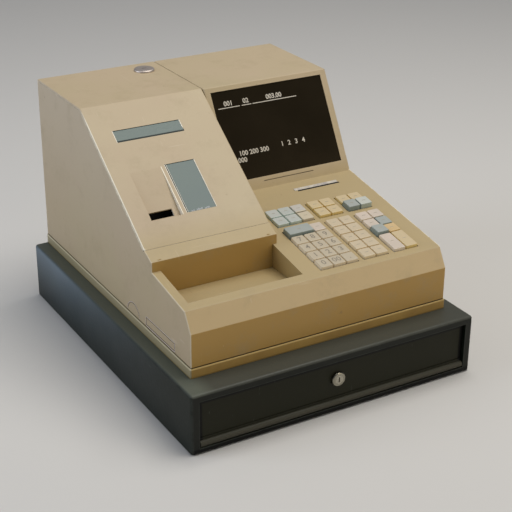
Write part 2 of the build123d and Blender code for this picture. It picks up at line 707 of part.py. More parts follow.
# Moulded shell: front, keyboard deck with the sunk change tray, tower walls and back.
with BuildPart() as main_housing:
    with BuildSketch(Plane.YZ.offset(-body_half)):
        with BuildLine():
            Polyline(*body_outline(base_top), close=True)
        make_face()
    extrude(amount=BODY_WIDTH)
    with BuildSketch(Plane.YZ.offset(-body_half)):
        with BuildLine():
            Polyline(*tower_outline(base_top), close=True)
        make_face()
    extrude(amount=TOWER_WIDTH)
    keyboard_edges = edges().filter_by(lambda e: e.center().Z > base_top + CUT_PAST)
    fillet(keyboard_edges.filter_by(lambda e: e.center().Y < lip_y - CUT_PAST), radius=EDGE_RADIUS)
    lip_middle = lip_top - LIP_RISE / 2
    lip_edges = edges().filter_by(lambda e: lip_middle - CUT_PAST < e.center().Z < kink_z - CUT_PAST)
    fillet(lip_edges.filter_by(lambda e: lip_y - CUT_PAST < e.center().Y < kink_y), radius=LIP_RADIUS)
    add(housing_room.part, mode=Mode.SUBTRACT)
    # Room for the printer cover, which lies over the tower's slope and top.
    with BuildSketch(Plane.YZ.offset(-body_half - CUT_PAST)):
        with BuildLine():
            Polyline(
                on_tower(0, CUT_PAST),
                on_tower(0, -slab),
                (shoulder_y + slab * tan(tower_tilt / 2), BODY_TOP - slab),
                (body_back + CUT_PAST, BODY_TOP - slab),
                (body_back + CUT_PAST, BODY_TOP + CUT_PAST),
                (shoulder_y, BODY_TOP + CUT_PAST),
                close=True,
            )
        make_face()
    extrude(amount=TOWER_WIDTH + 2 * CUT_PAST, mode=Mode.SUBTRACT)
    # Change tray.
    with Locations((tray_left, tray_front, TRAY_FLOOR_Z)):
        Box(
            TRAY_RIGHT - tray_left,
            lip_y - tray_front,
            kink_z - TRAY_FLOOR_Z,
            align=(Align.MIN, Align.MIN, Align.MIN),
            mode=Mode.SUBTRACT,
        )
    # Way through to the display hood.
    with Locations((hood_left + HOOD_SIDE_LEDGE, deck_back_y + HOOD_LEDGE, deck_back_z)):
        Box(
            body_half - hood_left - 2 * HOOD_SIDE_LEDGE,
            body_back - deck_back_y - HOOD_LEDGE - HOOD_SIDE_LEDGE,
            4 * WALL,
            align=(Align.MIN, Align.MIN, Align.CENTER),
            mode=Mode.SUBTRACT,
        )
    # One opening in the deck for each block of keys.
    with BuildSketch(deck_plane):
        for group_x, columns in zip(KEY_GROUP_X, KEY_GROUP_COLUMNS):
            width = columns * KEY_PITCH - KEY_GAP + 2 * OPENING_GAP
            with Locations((group_x, LOWER_GROUP_RUN)):
                Rectangle(width, LOWER_GROUP_ROWS * KEY_PITCH - KEY_GAP + 2 * OPENING_GAP)
            with Locations((group_x, UPPER_GROUP_RUN)):
                Rectangle(width, UPPER_GROUP_ROWS * KEY_PITCH - KEY_GAP + 2 * OPENING_GAP)
    extrude(amount=-2 * WALL, mode=Mode.SUBTRACT)
    # Brackets behind the lip for the cover's hinge pin.
    for bracket_x in bracket_places:
        with BuildSketch(Plane.YZ.offset(bracket_x - HINGE_BRACKET_THICKNESS / 2)):
            with Locations((pin_y, pin_z)):
                Circle(HINGE_BRACKET_RADIUS)
                Rectangle(
                    pin_y - lip_y - WALL / 2,
                    2 * HINGE_BRACKET_RADIUS,
                    align=(Align.MAX, Align.CENTER),
                )
                Circle(HINGE_PIN_RADIUS + SHAFT_CLEARANCE, mode=Mode.SUBTRACT)
        extrude(amount=HINGE_BRACKET_THICKNESS)
    # Catch for the cover lock, and the bosses for the back screws.
    with Locations((COVER_LOCK_X, body_back - WALL, catch_z)):
        Box(CATCH_WIDTH, CATCH_REACH, CATCH_THICKNESS, align=(Align.CENTER, Align.MAX, Align.MIN))
    with BuildSketch(Plane.XZ.offset(-(body_back - WALL))):
        with Locations(*housing_screws):
            Circle(SCREW_BOSS_RADIUS)
    extrude(amount=SCREW_BOSS_LENGTH)
    with BuildSketch(Plane.XZ.offset(-body_back)):
        with Locations(*housing_screws):
            Circle(SCREW_HOLE_RADIUS)
        with Locations((INLET_X, INLET_Z)):
            Circle(INLET_BODY_RADIUS + LOCK_HOLE_CLEARANCE)
        with Locations((VENT_X, VENT_Z)):
            with GridLocations(VENT_PITCH, 1, VENT_COUNT, 1):
                SlotOverall(VENT_HEIGHT, VENT_WIDTH, rotation=90)
    extrude(amount=SCREW_HOLE_DEPTH, mode=Mode.SUBTRACT)
    # Outlines of two knock-outs low on the left side: a long panel and a half-round plug.
    with BuildSketch(Plane.YZ.offset(-body_half)):
        with Locations((sum(PANEL_KNOCKOUT_Y) / 2, knockout_z)):
            knockout_length = PANEL_KNOCKOUT_Y[1] - PANEL_KNOCKOUT_Y[0]
            Rectangle(knockout_length, PANEL_KNOCKOUT_HEIGHT, align=(Align.CENTER, Align.MIN))
            with Locations((0, GROOVE)):
                Rectangle(
                    knockout_length - 2 * GROOVE,
                    PANEL_KNOCKOUT_HEIGHT - 2 * GROOVE,
                    align=(Align.CENTER, Align.MIN),
                    mode=Mode.SUBTRACT,
                )
    extrude(amount=KNOCKOUT_GROOVE, mode=Mode.SUBTRACT)
    with BuildSketch(Plane.YZ.offset(-body_half)):
        with Locations((PLUG_Y, knockout_z + PLUG_HEIGHT - PLUG_RADIUS)):
            Circle(PLUG_RADIUS)
            Circle(PLUG_RADIUS - GROOVE, mode=Mode.SUBTRACT)
        with Locations((PLUG_Y, knockout_z)):
            Rectangle(2 * PLUG_RADIUS, 2 * PLUG_RADIUS, align=(Align.CENTER, Align.MAX), mode=Mode.SUBTRACT)
    extrude(amount=KNOCKOUT_GROOVE, mode=Mode.SUBTRACT)
    # Shadow gap over the base tray's rim.
    with BuildSketch(Plane.XY.offset(base_top)):
        with Locations((0, (body_front + body_back) / 2)):
            Rectangle(BODY_WIDTH + 2 * CUT_PAST, body_back - body_front + 2 * CUT_PAST)
            Rectangle(
                BODY_WIDTH - 2 * SEAM_DEPTH,
                body_back - body_front - 2 * SEAM_DEPTH,
                mode=Mode.SUBTRACT,
            )
    extrude(amount=SEAM_HEIGHT, mode=Mode.SUBTRACT)
main_housing.part.label = "main_housing"
export_step(main_housing.part, "parts/main_housing.step")

# ---------------------------------------------------------------- display hood
WINDOW_X = (0.5, 175)
WINDOW_RUN = (15.8, 140)
WINDOW_LIP = 1.2
WINDOW_OVERLAP = 2
WINDOW_THICKNESS = 3
WINDOW_PLAY = 0.2
LEGEND_GROOVE_X = (48, 127)
LEGEND_GROOVE_RUN = 10
LEGEND_GROOVE_DEPTH = 1.4
HOOD_SCREW_Z = 214
window_centre = (sum(WINDOW_X) / 2, sum(WINDOW_RUN) / 2)
window_width = WINDOW_X[1] - WINDOW_X[0]
window_length = WINDOW_RUN[1] - WINDOW_RUN[0]
hood_screws = [
    ((hood_left + body_half) / 2 + side * ((body_half - hood_left) / 2 - SCREW_INSET), HOOD_SCREW_Z)
    for side in (-1, 1)
]

# Moulded hood that stands on the deck and frames the display window.
with BuildPart() as display_hood:
    with BuildSketch(Plane.YZ.offset(hood_left)):
        with BuildLine():
            Polyline(*hood_outline(deck_back_z), close=True)
        make_face()
    extrude(amount=body_half - hood_left)
    fillet(edges().filter_by(lambda e: e.center().Z > deck_back_z + CUT_PAST), radius=EDGE_RADIUS)
    with BuildSketch(Plane.YZ.offset(hood_left + WALL)):
        with BuildLine():
            Polyline(*hood_outline(deck_back_z - 2 * WALL), close=True)
        make_face()
        offset(amount=-WALL, kind=Kind.INTERSECTION, mode=Mode.REPLACE)
    extrude(amount=body_half - hood_left - 2 * WALL, mode=Mode.SUBTRACT)
    with BuildSketch(hood_plane):
        with Locations(window_centre):
            Rectangle(window_width, window_length)
    extrude(amount=-2 * WALL, mode=Mode.SUBTRACT)
    with BuildSketch(hood_plane.offset(-WINDOW_LIP)):
        with Locations(window_centre):
            Rectangle(
                window_width + 2 * (WINDOW_OVERLAP + WINDOW_PLAY),
                window_length + 2 * (WINDOW_OVERLAP + WINDOW_PLAY),
            )
    extrude(amount=-WALL, mode=Mode.SUBTRACT)
    with BuildSketch(hood_plane):
        with Locations((sum(LEGEND_GROOVE_X) / 2, LEGEND_GROOVE_RUN)):
            Rectangle(LEGEND_GROOVE_X[1] - LEGEND_GROOVE_X[0], GROOVE)
    extrude(amount=-LEGEND_GROOVE_DEPTH, mode=Mode.SUBTRACT)
    with BuildSketch(Plane.XZ.offset(-(body_back - WALL))):
        with Locations(*hood_screws):
            Circle(SCREW_BOSS_RADIUS)
    extrude(amount=SCREW_BOSS_LENGTH)
    with BuildSketch(Plane.XZ.offset(-body_back)):
        with Locations(*hood_screws):
            Circle(SCREW_HOLE_RADIUS)
    extrude(amount=SCREW_HOLE_DEPTH, mode=Mode.SUBTRACT)
display_hood.part.label = "display_hood"
export_step(display_hood.part, "parts/display_hood.step")

# Smoked acrylic plate, bonded behind the hood's window lip.
with BuildPart() as display_window:
    with BuildSketch(hood_plane.offset(-WINDOW_LIP)):
        with Locations(window_centre):
            Rectangle(window_width + 2 * WINDOW_OVERLAP, window_length + 2 * WINDOW_OVERLAP)
    extrude(amount=-WINDOW_THICKNESS)
display_window.part.label = "display_window"
export_step(display_window.part, "parts/display_window.step")

TUBE_DEPTH = 9
TUBE_WIDTH = 140
TUBE_HEIGHT = 26
TUBE_RUN = 84
PCB_WIDTH = 160
PCB_BOTTOM_RUN = 14
PCB_TOP_RUN = 134
PCB_BEHIND = 16
PCB_THICKNESS = 1.6
PCB_FOOT = 9
PCB_FOOT_X = 55
PCB_FOOT_HEIGHT = 7
pcb_foot_y = deck_back_y + PCB_BEHIND / sin(hood_tilt) + PCB_FOOT / 2

# Display board: circuit board on two feet, with the indicator tube in front.
with BuildPart() as display_board:
    with BuildSketch(hood_plane.offset(-PCB_BEHIND)):
        with Locations((window_centre[0], (PCB_BOTTOM_RUN + PCB_TOP_RUN) / 2)):
            Rectangle(PCB_WIDTH, PCB_TOP_RUN - PCB_BOTTOM_RUN)
    extrude(amount=-PCB_THICKNESS)
    with BuildSketch(hood_plane.offset(-PCB_BEHIND)):
        with Locations((window_centre[0], TUBE_RUN)):
            Rectangle(TUBE_WIDTH, TUBE_HEIGHT)
    extrude(amount=TUBE_DEPTH)
    for side in (-1, 1):
        with Locations((window_centre[0] + side * PCB_FOOT_X, pcb_foot_y, deck_back_z)):
            Box(PCB_FOOT, PCB_FOOT, PCB_FOOT_HEIGHT, align=(Align.CENTER, Align.CENTER, Align.MIN))
display_board.part.label = "display_board"
export_step(display_board.part, "parts/display_board.step")

# ---------------------------------------------------------------- printer cover
UPPER_WINDOW_X = (-157, -61)
UPPER_WINDOW_RUN = (160, 179)
JOURNAL_X = (-110, -67)
JOURNAL_RUN = (39.4, 115)
GLASS_THICKNESS = 2
GLASS_OVERLAP = 2
GLASS_SINK = 0.6
CHUTE_X = (-159, -115.5)
CHUTE_RUN = (38, 112)
CHUTE_DEPTH = 7
CHUTE_WALL = 2
SLOT_X = (-156, -124)
SLOT_RUN = (42.6, 53)
SWING_CLEARANCE = 0.3
SQUARE_ENOUGH = 0.5
FLANGE_START = 30
LOCK_RING_RADIUS = 14.5
LOCK_RING_HEIGHT = 3.2
LOCK_RING_ROUND = 2.4
COVER_BARREL_RADIUS = 9.5
COVER_PLUG_RADIUS = 6
COVER_NUT_RADIUS = 13
COVER_CAM_REACH = 29
COVER_CAM_THICKNESS = 2
# The cover's front edge is cut back under its skin so that it swings clear of the band.
front_edge_radius = hypot(COVER_GAP - HINGE_BACK, HINGE_DEPTH)
front_undercut = (
    sqrt(front_edge_radius**2 - (HINGE_DEPTH - COVER_THICKNESS) ** 2)
    + HINGE_BACK
    - COVER_GAP
    + SWING_CLEARANCE
)
ear_places = (
    bracket_places[0] + HINGE_BRACKET_THICKNESS / 2 + SEAT_GAP + HINGE_EAR_THICKNESS / 2,
    bracket_places[1] - HINGE_BRACKET_THICKNESS / 2 - SEAT_GAP - HINGE_EAR_THICKNESS / 2,
)

# One moulded lid over slope and top: windows, receipt chute, flanges and hinge ears.
with BuildPart() as printer_cover:
    with BuildSketch(Plane.YZ.offset(-body_half)):
        with BuildLine():
            Polyline(
                on_tower(COVER_GAP, 0),
                (shoulder_y, BODY_TOP),
                (body_back, BODY_TOP),
                (body_back, BODY_TOP - COVER_THICKNESS),
                (shoulder_y + COVER_THICKNESS * tan(tower_tilt / 2), BODY_TOP - COVER_THICKNESS),
                on_tower(COVER_GAP + front_undercut, -COVER_THICKNESS),
                close=True,
            )
        make_face()
    extrude(amount=TOWER_WIDTH)
    crown = faces().filter_by(lambda f: f.normal_at().Z > SQUARE_ENOUGH).edges()
    fillet(crown.filter_by(lambda e: e.center().Z > kink_z + CUT_PAST), radius=EDGE_RADIUS)
    # Stiffening flanges just inside the tower's walls.
    for flange_x in (
        -body_half + WALL + COVER_GAP,
        tower_right - WALL - COVER_GAP - FLANGE_THICKNESS,
    ):
        with BuildSketch(Plane.YZ.offset(flange_x)):
            with BuildLine():
                Polyline(
                    on_tower(FLANGE_START, -COVER_THICKNESS),
                    (shoulder_y + COVER_THICKNESS * tan(tower_tilt / 2), BODY_TOP - COVER_THICKNESS),
                    (body_back - 3 * WALL, BODY_TOP - COVER_THICKNESS),
                    (body_back - 3 * WALL, BODY_TOP - COVER_THICKNESS - COVER_FLANGE),
                    (
                        shoulder_y + (COVER_THICKNESS + COVER_FLANGE) * tan(tower_tilt / 2),
                        BODY_TOP - COVER_THICKNESS - COVER_FLANGE,
                    ),
                    on_tower(FLANGE_START, -COVER_THICKNESS - COVER_FLANGE),
                    close=True,
                )
            make_face()
        extrude(amount=FLANGE_THICKNESS)
    # Receipt chute: a pocket under the plate whose floor ramps down to the paper slot.
    with BuildSketch(tower_section(CHUTE_X[0] - CHUTE_WALL)):
        with BuildLine():
            Polyline(
                (CHUTE_RUN[0] - CHUTE_WALL, -COVER_THICKNESS / 2),
                (CHUTE_RUN[0] - CHUTE_WALL, -CHUTE_DEPTH - CHUTE_WALL),
                (CHUTE_RUN[0] + CHUTE_WALL, -CHUTE_DEPTH - CHUTE_WALL),
                (CHUTE_RUN[1], -COVER_THICKNESS / 2),
                close=True,
            )
        make_face()
    extrude(amount=CHUTE_X[1] - CHUTE_X[0] + 2 * CHUTE_WALL)
    with BuildSketch(tower_section(CHUTE_X[0])):
        with BuildLine():
            Polyline(
                (CHUTE_RUN[0], CUT_PAST),
                (CHUTE_RUN[0], -CHUTE_DEPTH),
                (CHUTE_RUN[1], 0),
                (CHUTE_RUN[1], CUT_PAST),
                close=True,
            )
        make_face()
    extrude(amount=CHUTE_X[1] - CHUTE_X[0], mode=Mode.SUBTRACT)
    # Paper slot, journal window, upper window and the lock's hole.
    with BuildSketch(tower_plane.offset(CUT_PAST)):
        for across, along in (
            (SLOT_X, SLOT_RUN),
            (JOURNAL_X, JOURNAL_RUN),
            (UPPER_WINDOW_X, UPPER_WINDOW_RUN),
        ):
            with Locations((sum(across) / 2, sum(along) / 2)):
                Rectangle(across[1] - across[0], along[1] - along[0])
    extrude(amount=-CHUTE_DEPTH - 2 * CHUTE_WALL - CUT_PAST, mode=Mode.SUBTRACT)
    with BuildSketch(Plane.XY.offset(BODY_TOP + CUT_PAST)):
        with Locations((COVER_LOCK_X, cover_lock_y)):
            Circle(COVER_BARREL_RADIUS + LOCK_HOLE_CLEARANCE)
    extrude(amount=-3 * COVER_THICKNESS, mode=Mode.SUBTRACT)
    # Gooseneck ears that reach under the band to the hinge pin.
    for ear_x in ear_places:
        with BuildSketch(tower_section(ear_x - HINGE_EAR_THICKNESS / 2)):
            with BuildLine():
                neck = CenterArc((HINGE_BACK + NECK_RADIUS, -HINGE_DEPTH), NECK_RADIUS, 180, 180)
                Line(neck @ 1, (HINGE_BACK + 2 * NECK_RADIUS, -COVER_THICKNESS))
                offset(amount=NECK_WIDTH / 2)
            make_face()
            with Locations((HINGE_BACK, -HINGE_DEPTH)):
                Circle(HINGE_PIN_RADIUS + NECK_EYE_WALL)
                Circle(HINGE_PIN_RADIUS + SHAFT_CLEARANCE, mode=Mode.SUBTRACT)
        extrude(amount=HINGE_EAR_THICKNESS)
printer_cover.part.label = "printer_cover"
export_step(printer_cover.part, "parts/printer_cover.step")

# Clear plates under the two viewing openings, each with a raised field that fills its opening.
with BuildPart() as cover_windows:
    with BuildSketch(tower_plane.offset(-COVER_THICKNESS)):
        for across, along in ((JOURNAL_X, JOURNAL_RUN), (UPPER_WINDOW_X, UPPER_WINDOW_RUN)):
            with Locations((sum(across) / 2, sum(along) / 2)):
                Rectangle(across[1] - across[0] + 2 * GLASS_OVERLAP, along[1] - along[0] + 2 * GLASS_OVERLAP)
    extrude(amount=-GLASS_THICKNESS)
    with BuildSketch(tower_section(CHUTE_X[0] - CHUTE_WALL)):
        with Locations((sum(CHUTE_RUN) / 2, 0)):
            Rectangle(CHUTE_RUN[1] - CHUTE_RUN[0] + 2 * (CHUTE_WALL + WINDOW_PLAY), 4 * CHUTE_DEPTH)
    extrude(amount=CHUTE_X[1] - CHUTE_X[0] + 2 * CHUTE_WALL + WINDOW_PLAY, mode=Mode.SUBTRACT)
    with BuildSketch(tower_plane.offset(-COVER_THICKNESS)):
        for across, along in ((JOURNAL_X, JOURNAL_RUN), (UPPER_WINDOW_X, UPPER_WINDOW_RUN)):
            with Locations((sum(across) / 2, sum(along) / 2)):
                Rectangle(across[1] - across[0] - 2 * WINDOW_PLAY, along[1] - along[0] - 2 * WINDOW_PLAY)
    extrude(amount=COVER_THICKNESS - GLASS_SINK)
cover_windows.part.label = "cover_windows"
export_step(cover_windows.part, "parts/cover_windows.step")

# Steel pin that the cover swings forward on.
with BuildPart() as hinge_pin:
    with BuildSketch(Plane.YZ.offset(bracket_places[0] - HINGE_BRACKET_THICKNESS)):
        with Locations((pin_y, pin_z)):
            Circle(HINGE_PIN_RADIUS)
    extrude(amount=bracket_places[1] - bracket_places[0] + 2 * HINGE_BRACKET_THICKNESS)
hinge_pin.part.label = "hinge_pin"
export_step(hinge_pin.part, "parts/hinge_pin.step")

# Cover lock: chromed domed ring on the lid, barrel below it.
with BuildPart() as cover_lock_barrel:
    with BuildSketch(Plane.XY.offset(BODY_TOP)):
        with Locations((COVER_LOCK_X, cover_lock_y)):
            Circle(LOCK_RING_RADIUS)
    extrude(amount=LOCK_RING_HEIGHT)
    fillet(edges().group_by(Axis.Z)[-1], radius=LOCK_RING_ROUND)
    with BuildSketch(Plane.XY.offset(BODY_TOP)):
        with Locations((COVER_LOCK_X, cover_lock_y)):
            Circle(COVER_BARREL_RADIUS)
    extrude(amount=-COVER_BARREL_LENGTH)
    with BuildSketch(Plane.XY.offset(BODY_TOP - COVER_THICKNESS)):
        with Locations((COVER_LOCK_X, cover_lock_y)):
            RegularPolygon(COVER_NUT_RADIUS, 6)
    extrude(amount=-LOCK_NUT_THICKNESS)
    with BuildSketch(Plane.XY.offset(BODY_TOP + LOCK_RING_HEIGHT)):
        with Locations((COVER_LOCK_X, cover_lock_y)):
            Circle(COVER_PLUG_RADIUS + SHAFT_CLEARANCE)
    extrude(amount=-COVER_BARREL_LENGTH - LOCK_RING_HEIGHT, mode=Mode.SUBTRACT)
cover_lock_barrel.part.label = "cover_lock_barrel"
export_step(cover_lock_barrel.part, "parts/cover_lock_barrel.step")

# Its plug, with the cam that turns under the catch on the back wall.
with BuildPart() as cover_lock_plug:
    with BuildSketch(Plane.XY.offset(BODY_TOP - COVER_BARREL_LENGTH)):
        with Locations((COVER_LOCK_X, cover_lock_y)):
            Circle(COVER_PLUG_RADIUS)
    extrude(amount=COVER_BARREL_LENGTH + LOCK_RING_HEIGHT)
    with BuildSketch(Plane.XY.offset(BODY_TOP + LOCK_RING_HEIGHT)):
        with Locations((COVER_LOCK_X, cover_lock_y)):
            Rectangle(KEYWAY_LENGTH, KEYWAY_WIDTH)
    extrude(amount=-KEYWAY_DEPTH, mode=Mode.SUBTRACT)
    with BuildSketch(Plane.XY.offset(BODY_TOP - COVER_BARREL_LENGTH)):
        with Locations((COVER_LOCK_X, cover_lock_y)):
            Circle(COVER_PLUG_RADIUS + CAM_EYE_WALL)
            Rectangle(COVER_CAM_REACH, CAM_WIDTH, align=(Align.MAX, Align.CENTER))
    extrude(amount=-COVER_CAM_THICKNESS)
cover_lock_plug.part.label = "cover_lock_plug"
export_step(cover_lock_plug.part, "parts/cover_lock_plug.step")

# ---------------------------------------------------------------- printer mechanism
PRINTER_LEFT = -171
PRINTER_RIGHT = -22
PRINTER_FRONT = -62
PRINTER_BACK_GAP = 19
PLATE = 2.5
PLATE_BELOW_LID = 34
PLATE_FRONT_HEIGHT = 175
PLATE_BACK_DROP = 70
PLATE_SHOULDER = 20
PLATE_TAIL = 12
TIE_YZ = ((-52, 120), (32, 150))
DIVIDER_X = -96
DIVIDER_FRONT = 56
DRUM_YZ = (12, 202)
DRUM_RADIUS = 16
DRUM_RINGS = 14
DRUM_RING_GROOVE = 1.2
DRUM_RING_SHARE = 0.7
AXLE_RADIUS = 4
INK_YZ = (35.5, 214.5)
INK_RADIUS = 10
FEED_YZ = (-15, 207)
FEED_RADIUS = 9
SPOOL_YZ = (74, 248)
SPOOL_CORE_RADIUS = 9
SPOOL_FLANGE_RADIUS = 21
SPOOL_FLANGE = 2
ROLL_BEFORE_BACK = 54
ROLL_Z = 215
RECEIPT_ROLL_RADIUS = 38
JOURNAL_ROLL_RADIUS = 32
ROLL_SIDE_GAP = 3
printer_mid = (PRINTER_LEFT + PRINTER_RIGHT) / 2
printer_back = body_back - PRINTER_BACK_GAP
roll_yz = (printer_back - ROLL_BEFORE_BACK, ROLL_Z)
printer_base_z = base_inner_floor
plate_shoulder_y = PRINTER_FRONT + PLATE_SHOULDER


def lid_height(y):
    """Height of the lid's outer surface above a point of the printer."""
    if y < shoulder_y:
        return kink_z + (y - kink_y) * tan(tower_tilt)
    return BODY_TOP


# Frame: floor plate, two side plates, the divider between the rolls and two tie bars.
with BuildPart() as printer_frame:
    with Locations((printer_mid, PRINTER_FRONT, printer_base_z)):
        Box(
            PRINTER_RIGHT - PRINTER_LEFT,
            printer_back - PRINTER_FRONT,
            PLATE,
            align=(Align.CENTER, Align.MIN, Align.MIN),
        )
    for plate_x in (PRINTER_LEFT, PRINTER_RIGHT - PLATE):
        with BuildSketch(Plane.YZ.offset(plate_x)):
            with BuildLine():
                Polyline(
                    (PRINTER_FRONT, printer_base_z),
                    (PRINTER_FRONT, PLATE_FRONT_HEIGHT),
                    (plate_shoulder_y, lid_height(plate_shoulder_y) - PLATE_BELOW_LID),
                    (shoulder_y, BODY_TOP - PLATE_BELOW_LID),
                    (roll_yz[0] + PLATE_TAIL, BODY_TOP - PLATE_BELOW_LID),
                    (printer_back, BODY_TOP - PLATE_BELOW_LID - PLATE_BACK_DROP),
                    (printer_back, printer_base_z),
                    close=True,
                )
            make_face()
        extrude(amount=PLATE)
    with BuildSketch(Plane.YZ.offset(DIVIDER_X - PLATE / 2)):
        with BuildLine():
            Polyline(
                (DIVIDER_FRONT, printer_base_z),
                (DIVIDER_FRONT, lid_height(DIVIDER_FRONT) - PLATE_BELOW_LID),
                (shoulder_y, BODY_TOP - PLATE_BELOW_LID),
                (roll_yz[0] + PLATE_TAIL, BODY_TOP - PLATE_BELOW_LID),
                (printer_back, BODY_TOP - PLATE_BELOW_LID - PLATE_BACK_DROP),
                (printer_back, printer_base_z),
                close=True,
            )
        make_face()
    extrude(amount=PLATE)
    with BuildSketch(Plane.YZ.offset(PRINTER_LEFT)):
        with Locations(*TIE_YZ):
            Circle(AXLE_RADIUS)
    extrude(amount=PRINTER_RIGHT - PRINTER_LEFT)
    with BuildSketch(Plane.YZ.offset(PRINTER_LEFT)):
        for place in (DRUM_YZ, INK_YZ, FEED_YZ, SPOOL_YZ, roll_yz):
            with Locations(place):
                Circle(AXLE_RADIUS + SHAFT_CLEARANCE)
    extrude(amount=PRINTER_RIGHT - PRINTER_LEFT, mode=Mode.SUBTRACT)
printer_frame.part.label = "printer_frame"
export_step(printer_frame.part, "parts/printer_frame.step")

# Type drum: a ring of type for each column of print.
drum_left = PRINTER_LEFT + PLATE + ROLL_SIDE_GAP
drum_length = PRINTER_RIGHT - PLATE - ROLL_SIDE_GAP - drum_left
ring_pitch = drum_length / DRUM_RINGS
with BuildPart() as print_drum:
    with BuildSketch(Plane.YZ.offset(PRINTER_LEFT)):
        with Locations(DRUM_YZ):
            Circle(AXLE_RADIUS)
    extrude(amount=PRINTER_RIGHT - PRINTER_LEFT)
    with BuildSketch(Plane.YZ.offset(drum_left)):
        with Locations(DRUM_YZ):
            Circle(DRUM_RADIUS - DRUM_RING_GROOVE)
    extrude(amount=drum_length)
    for ring in range(DRUM_RINGS):
        with BuildSketch(Plane.YZ.offset(drum_left + (ring + (1 - DRUM_RING_SHARE) / 2) * ring_pitch)):
            with Locations(DRUM_YZ):
                Circle(DRUM_RADIUS)
        extrude(amount=DRUM_RING_SHARE * ring_pitch)
print_drum.part.label = "print_drum"
export_step(print_drum.part, "parts/print_drum.step")

# Ink roller and paper feed roller, each with its axle in the side plates.
for roller_name, place, radius in (
    ("ink_roller", INK_YZ, INK_RADIUS),
    ("feed_roller", FEED_YZ, FEED_RADIUS),
):
    with BuildPart() as roller:
        with BuildSketch(Plane.YZ.offset(PRINTER_LEFT)):
            with Locations(place):
                Circle(AXLE_RADIUS)
        extrude(amount=PRINTER_RIGHT - PRINTER_LEFT)
        with BuildSketch(Plane.YZ.offset(drum_left)):
            with Locations(place):
                Circle(radius)
        extrude(amount=drum_length)
    roller.part.label = roller_name
    export_step(roller.part, f"parts/{roller_name}.step")

# Paper rolls on their spindles: receipt paper on the left, journal paper on the right.
for roll_name, left, right, radius in (
    ("receipt_roll", PRINTER_LEFT, DIVIDER_X - PLATE / 2, RECEIPT_ROLL_RADIUS),
    ("journal_roll", DIVIDER_X + PLATE / 2, PRINTER_RIGHT, JOURNAL_ROLL_RADIUS),
):
    roll_left = max(left, PRINTER_LEFT + PLATE) + ROLL_SIDE_GAP
    roll_right = min(right, PRINTER_RIGHT - PLATE) - ROLL_SIDE_GAP
    spindle_left = min(left, roll_left - ROLL_SIDE_GAP - PLATE / 2)
    spindle_right = max(right, roll_right + ROLL_SIDE_GAP + PLATE / 2 - SHAFT_CLEARANCE)
    with BuildPart() as roll:
        with BuildSketch(Plane.YZ.offset(roll_left)):
            with Locations(roll_yz):
                Circle(radius)
        extrude(amount=roll_right - roll_left)
        with BuildSketch(Plane.YZ.offset(spindle_left)):
            with Locations(roll_yz):
                Circle(AXLE_RADIUS)
        extrude(amount=spindle_right - spindle_left)
    roll.part.label = roll_name
    export_step(roll.part, f"parts/{roll_name}.step")

# Spool that winds up the printed journal.
spool_left = DIVIDER_X + PLATE / 2 + ROLL_SIDE_GAP
spool_right = PRINTER_RIGHT - PLATE - ROLL_SIDE_GAP
with BuildPart() as take_up_spool:
    with BuildSketch(Plane.YZ.offset(DIVIDER_X)):
        with Locations(SPOOL_YZ):
            Circle(AXLE_RADIUS)
    extrude(amount=PRINTER_RIGHT - DIVIDER_X)
    with BuildSketch(Plane.YZ.offset(spool_left)):
        with Locations(SPOOL_YZ):
            Circle(SPOOL_CORE_RADIUS)
    extrude(amount=spool_right - spool_left)
    for flange_x in (spool_left, spool_right - SPOOL_FLANGE):
        with BuildSketch(Plane.YZ.offset(flange_x)):
            with Locations(SPOOL_YZ):
                Circle(SPOOL_FLANGE_RADIUS)
        extrude(amount=SPOOL_FLANGE)
take_up_spool.part.label = "take_up_spool"
export_step(take_up_spool.part, "parts/take_up_spool.step")

# ---------------------------------------------------------------- power parts
TRANSFORMER_XY = (100, 120)
CORE_WIDTH = 78
CORE_DEPTH = 40
CORE_HEIGHT = 66
COIL_WIDTH = 50
COIL_DEPTH = 62
COIL_HEIGHT = 42
INLET_FLANGE_RADIUS = 10
INLET_FLANGE = 2.2
INLET_LENGTH = 14
CORD_BORE_RADIUS = 3.6
SCREW_RADIUS = 1.9
SCREW_HEAD_RADIUS = 3.8
SCREW_HEAD_HEIGHT = 2
SCREW_LENGTH = 10

# Mains transformer: iron core standing on the pan, winding through it.
with BuildPart() as power_transformer:
    with Locations((*TRANSFORMER_XY, base_inner_floor)):
        Box(CORE_WIDTH, CORE_DEPTH, CORE_HEIGHT, align=(Align.CENTER, Align.CENTER, Align.MIN))
    with Locations((*TRANSFORMER_XY, base_inner_floor + CORE_HEIGHT / 2)):
        Box(COIL_WIDTH, COIL_DEPTH, COIL_HEIGHT)
power_transformer.part.label = "power_transformer"
export_step(power_transformer.part, "parts/power_transformer.step")

# Rubber gland in the back wall for the mains lead.
with BuildPart() as cord_inlet:
    with BuildSketch(Plane.XZ.offset(-body_back)):
        with Locations((INLET_X, INLET_Z)):
            Circle(INLET_FLANGE_RADIUS)
    extrude(amount=-INLET_FLANGE)
    with BuildSketch(Plane.XZ.offset(-body_back)):
        with Locations((INLET_X, INLET_Z)):
            Circle(INLET_BODY_RADIUS)
    extrude(amount=INLET_LENGTH - INLET_FLANGE)
    with BuildSketch(Plane.XZ.offset(-body_back - INLET_FLANGE)):
        with Locations((INLET_X, INLET_Z)):
            Circle(CORD_BORE_RADIUS)
    extrude(amount=INLET_LENGTH, mode=Mode.SUBTRACT)
cord_inlet.part.label = "cord_inlet"
export_step(cord_inlet.part, "parts/cord_inlet.step")

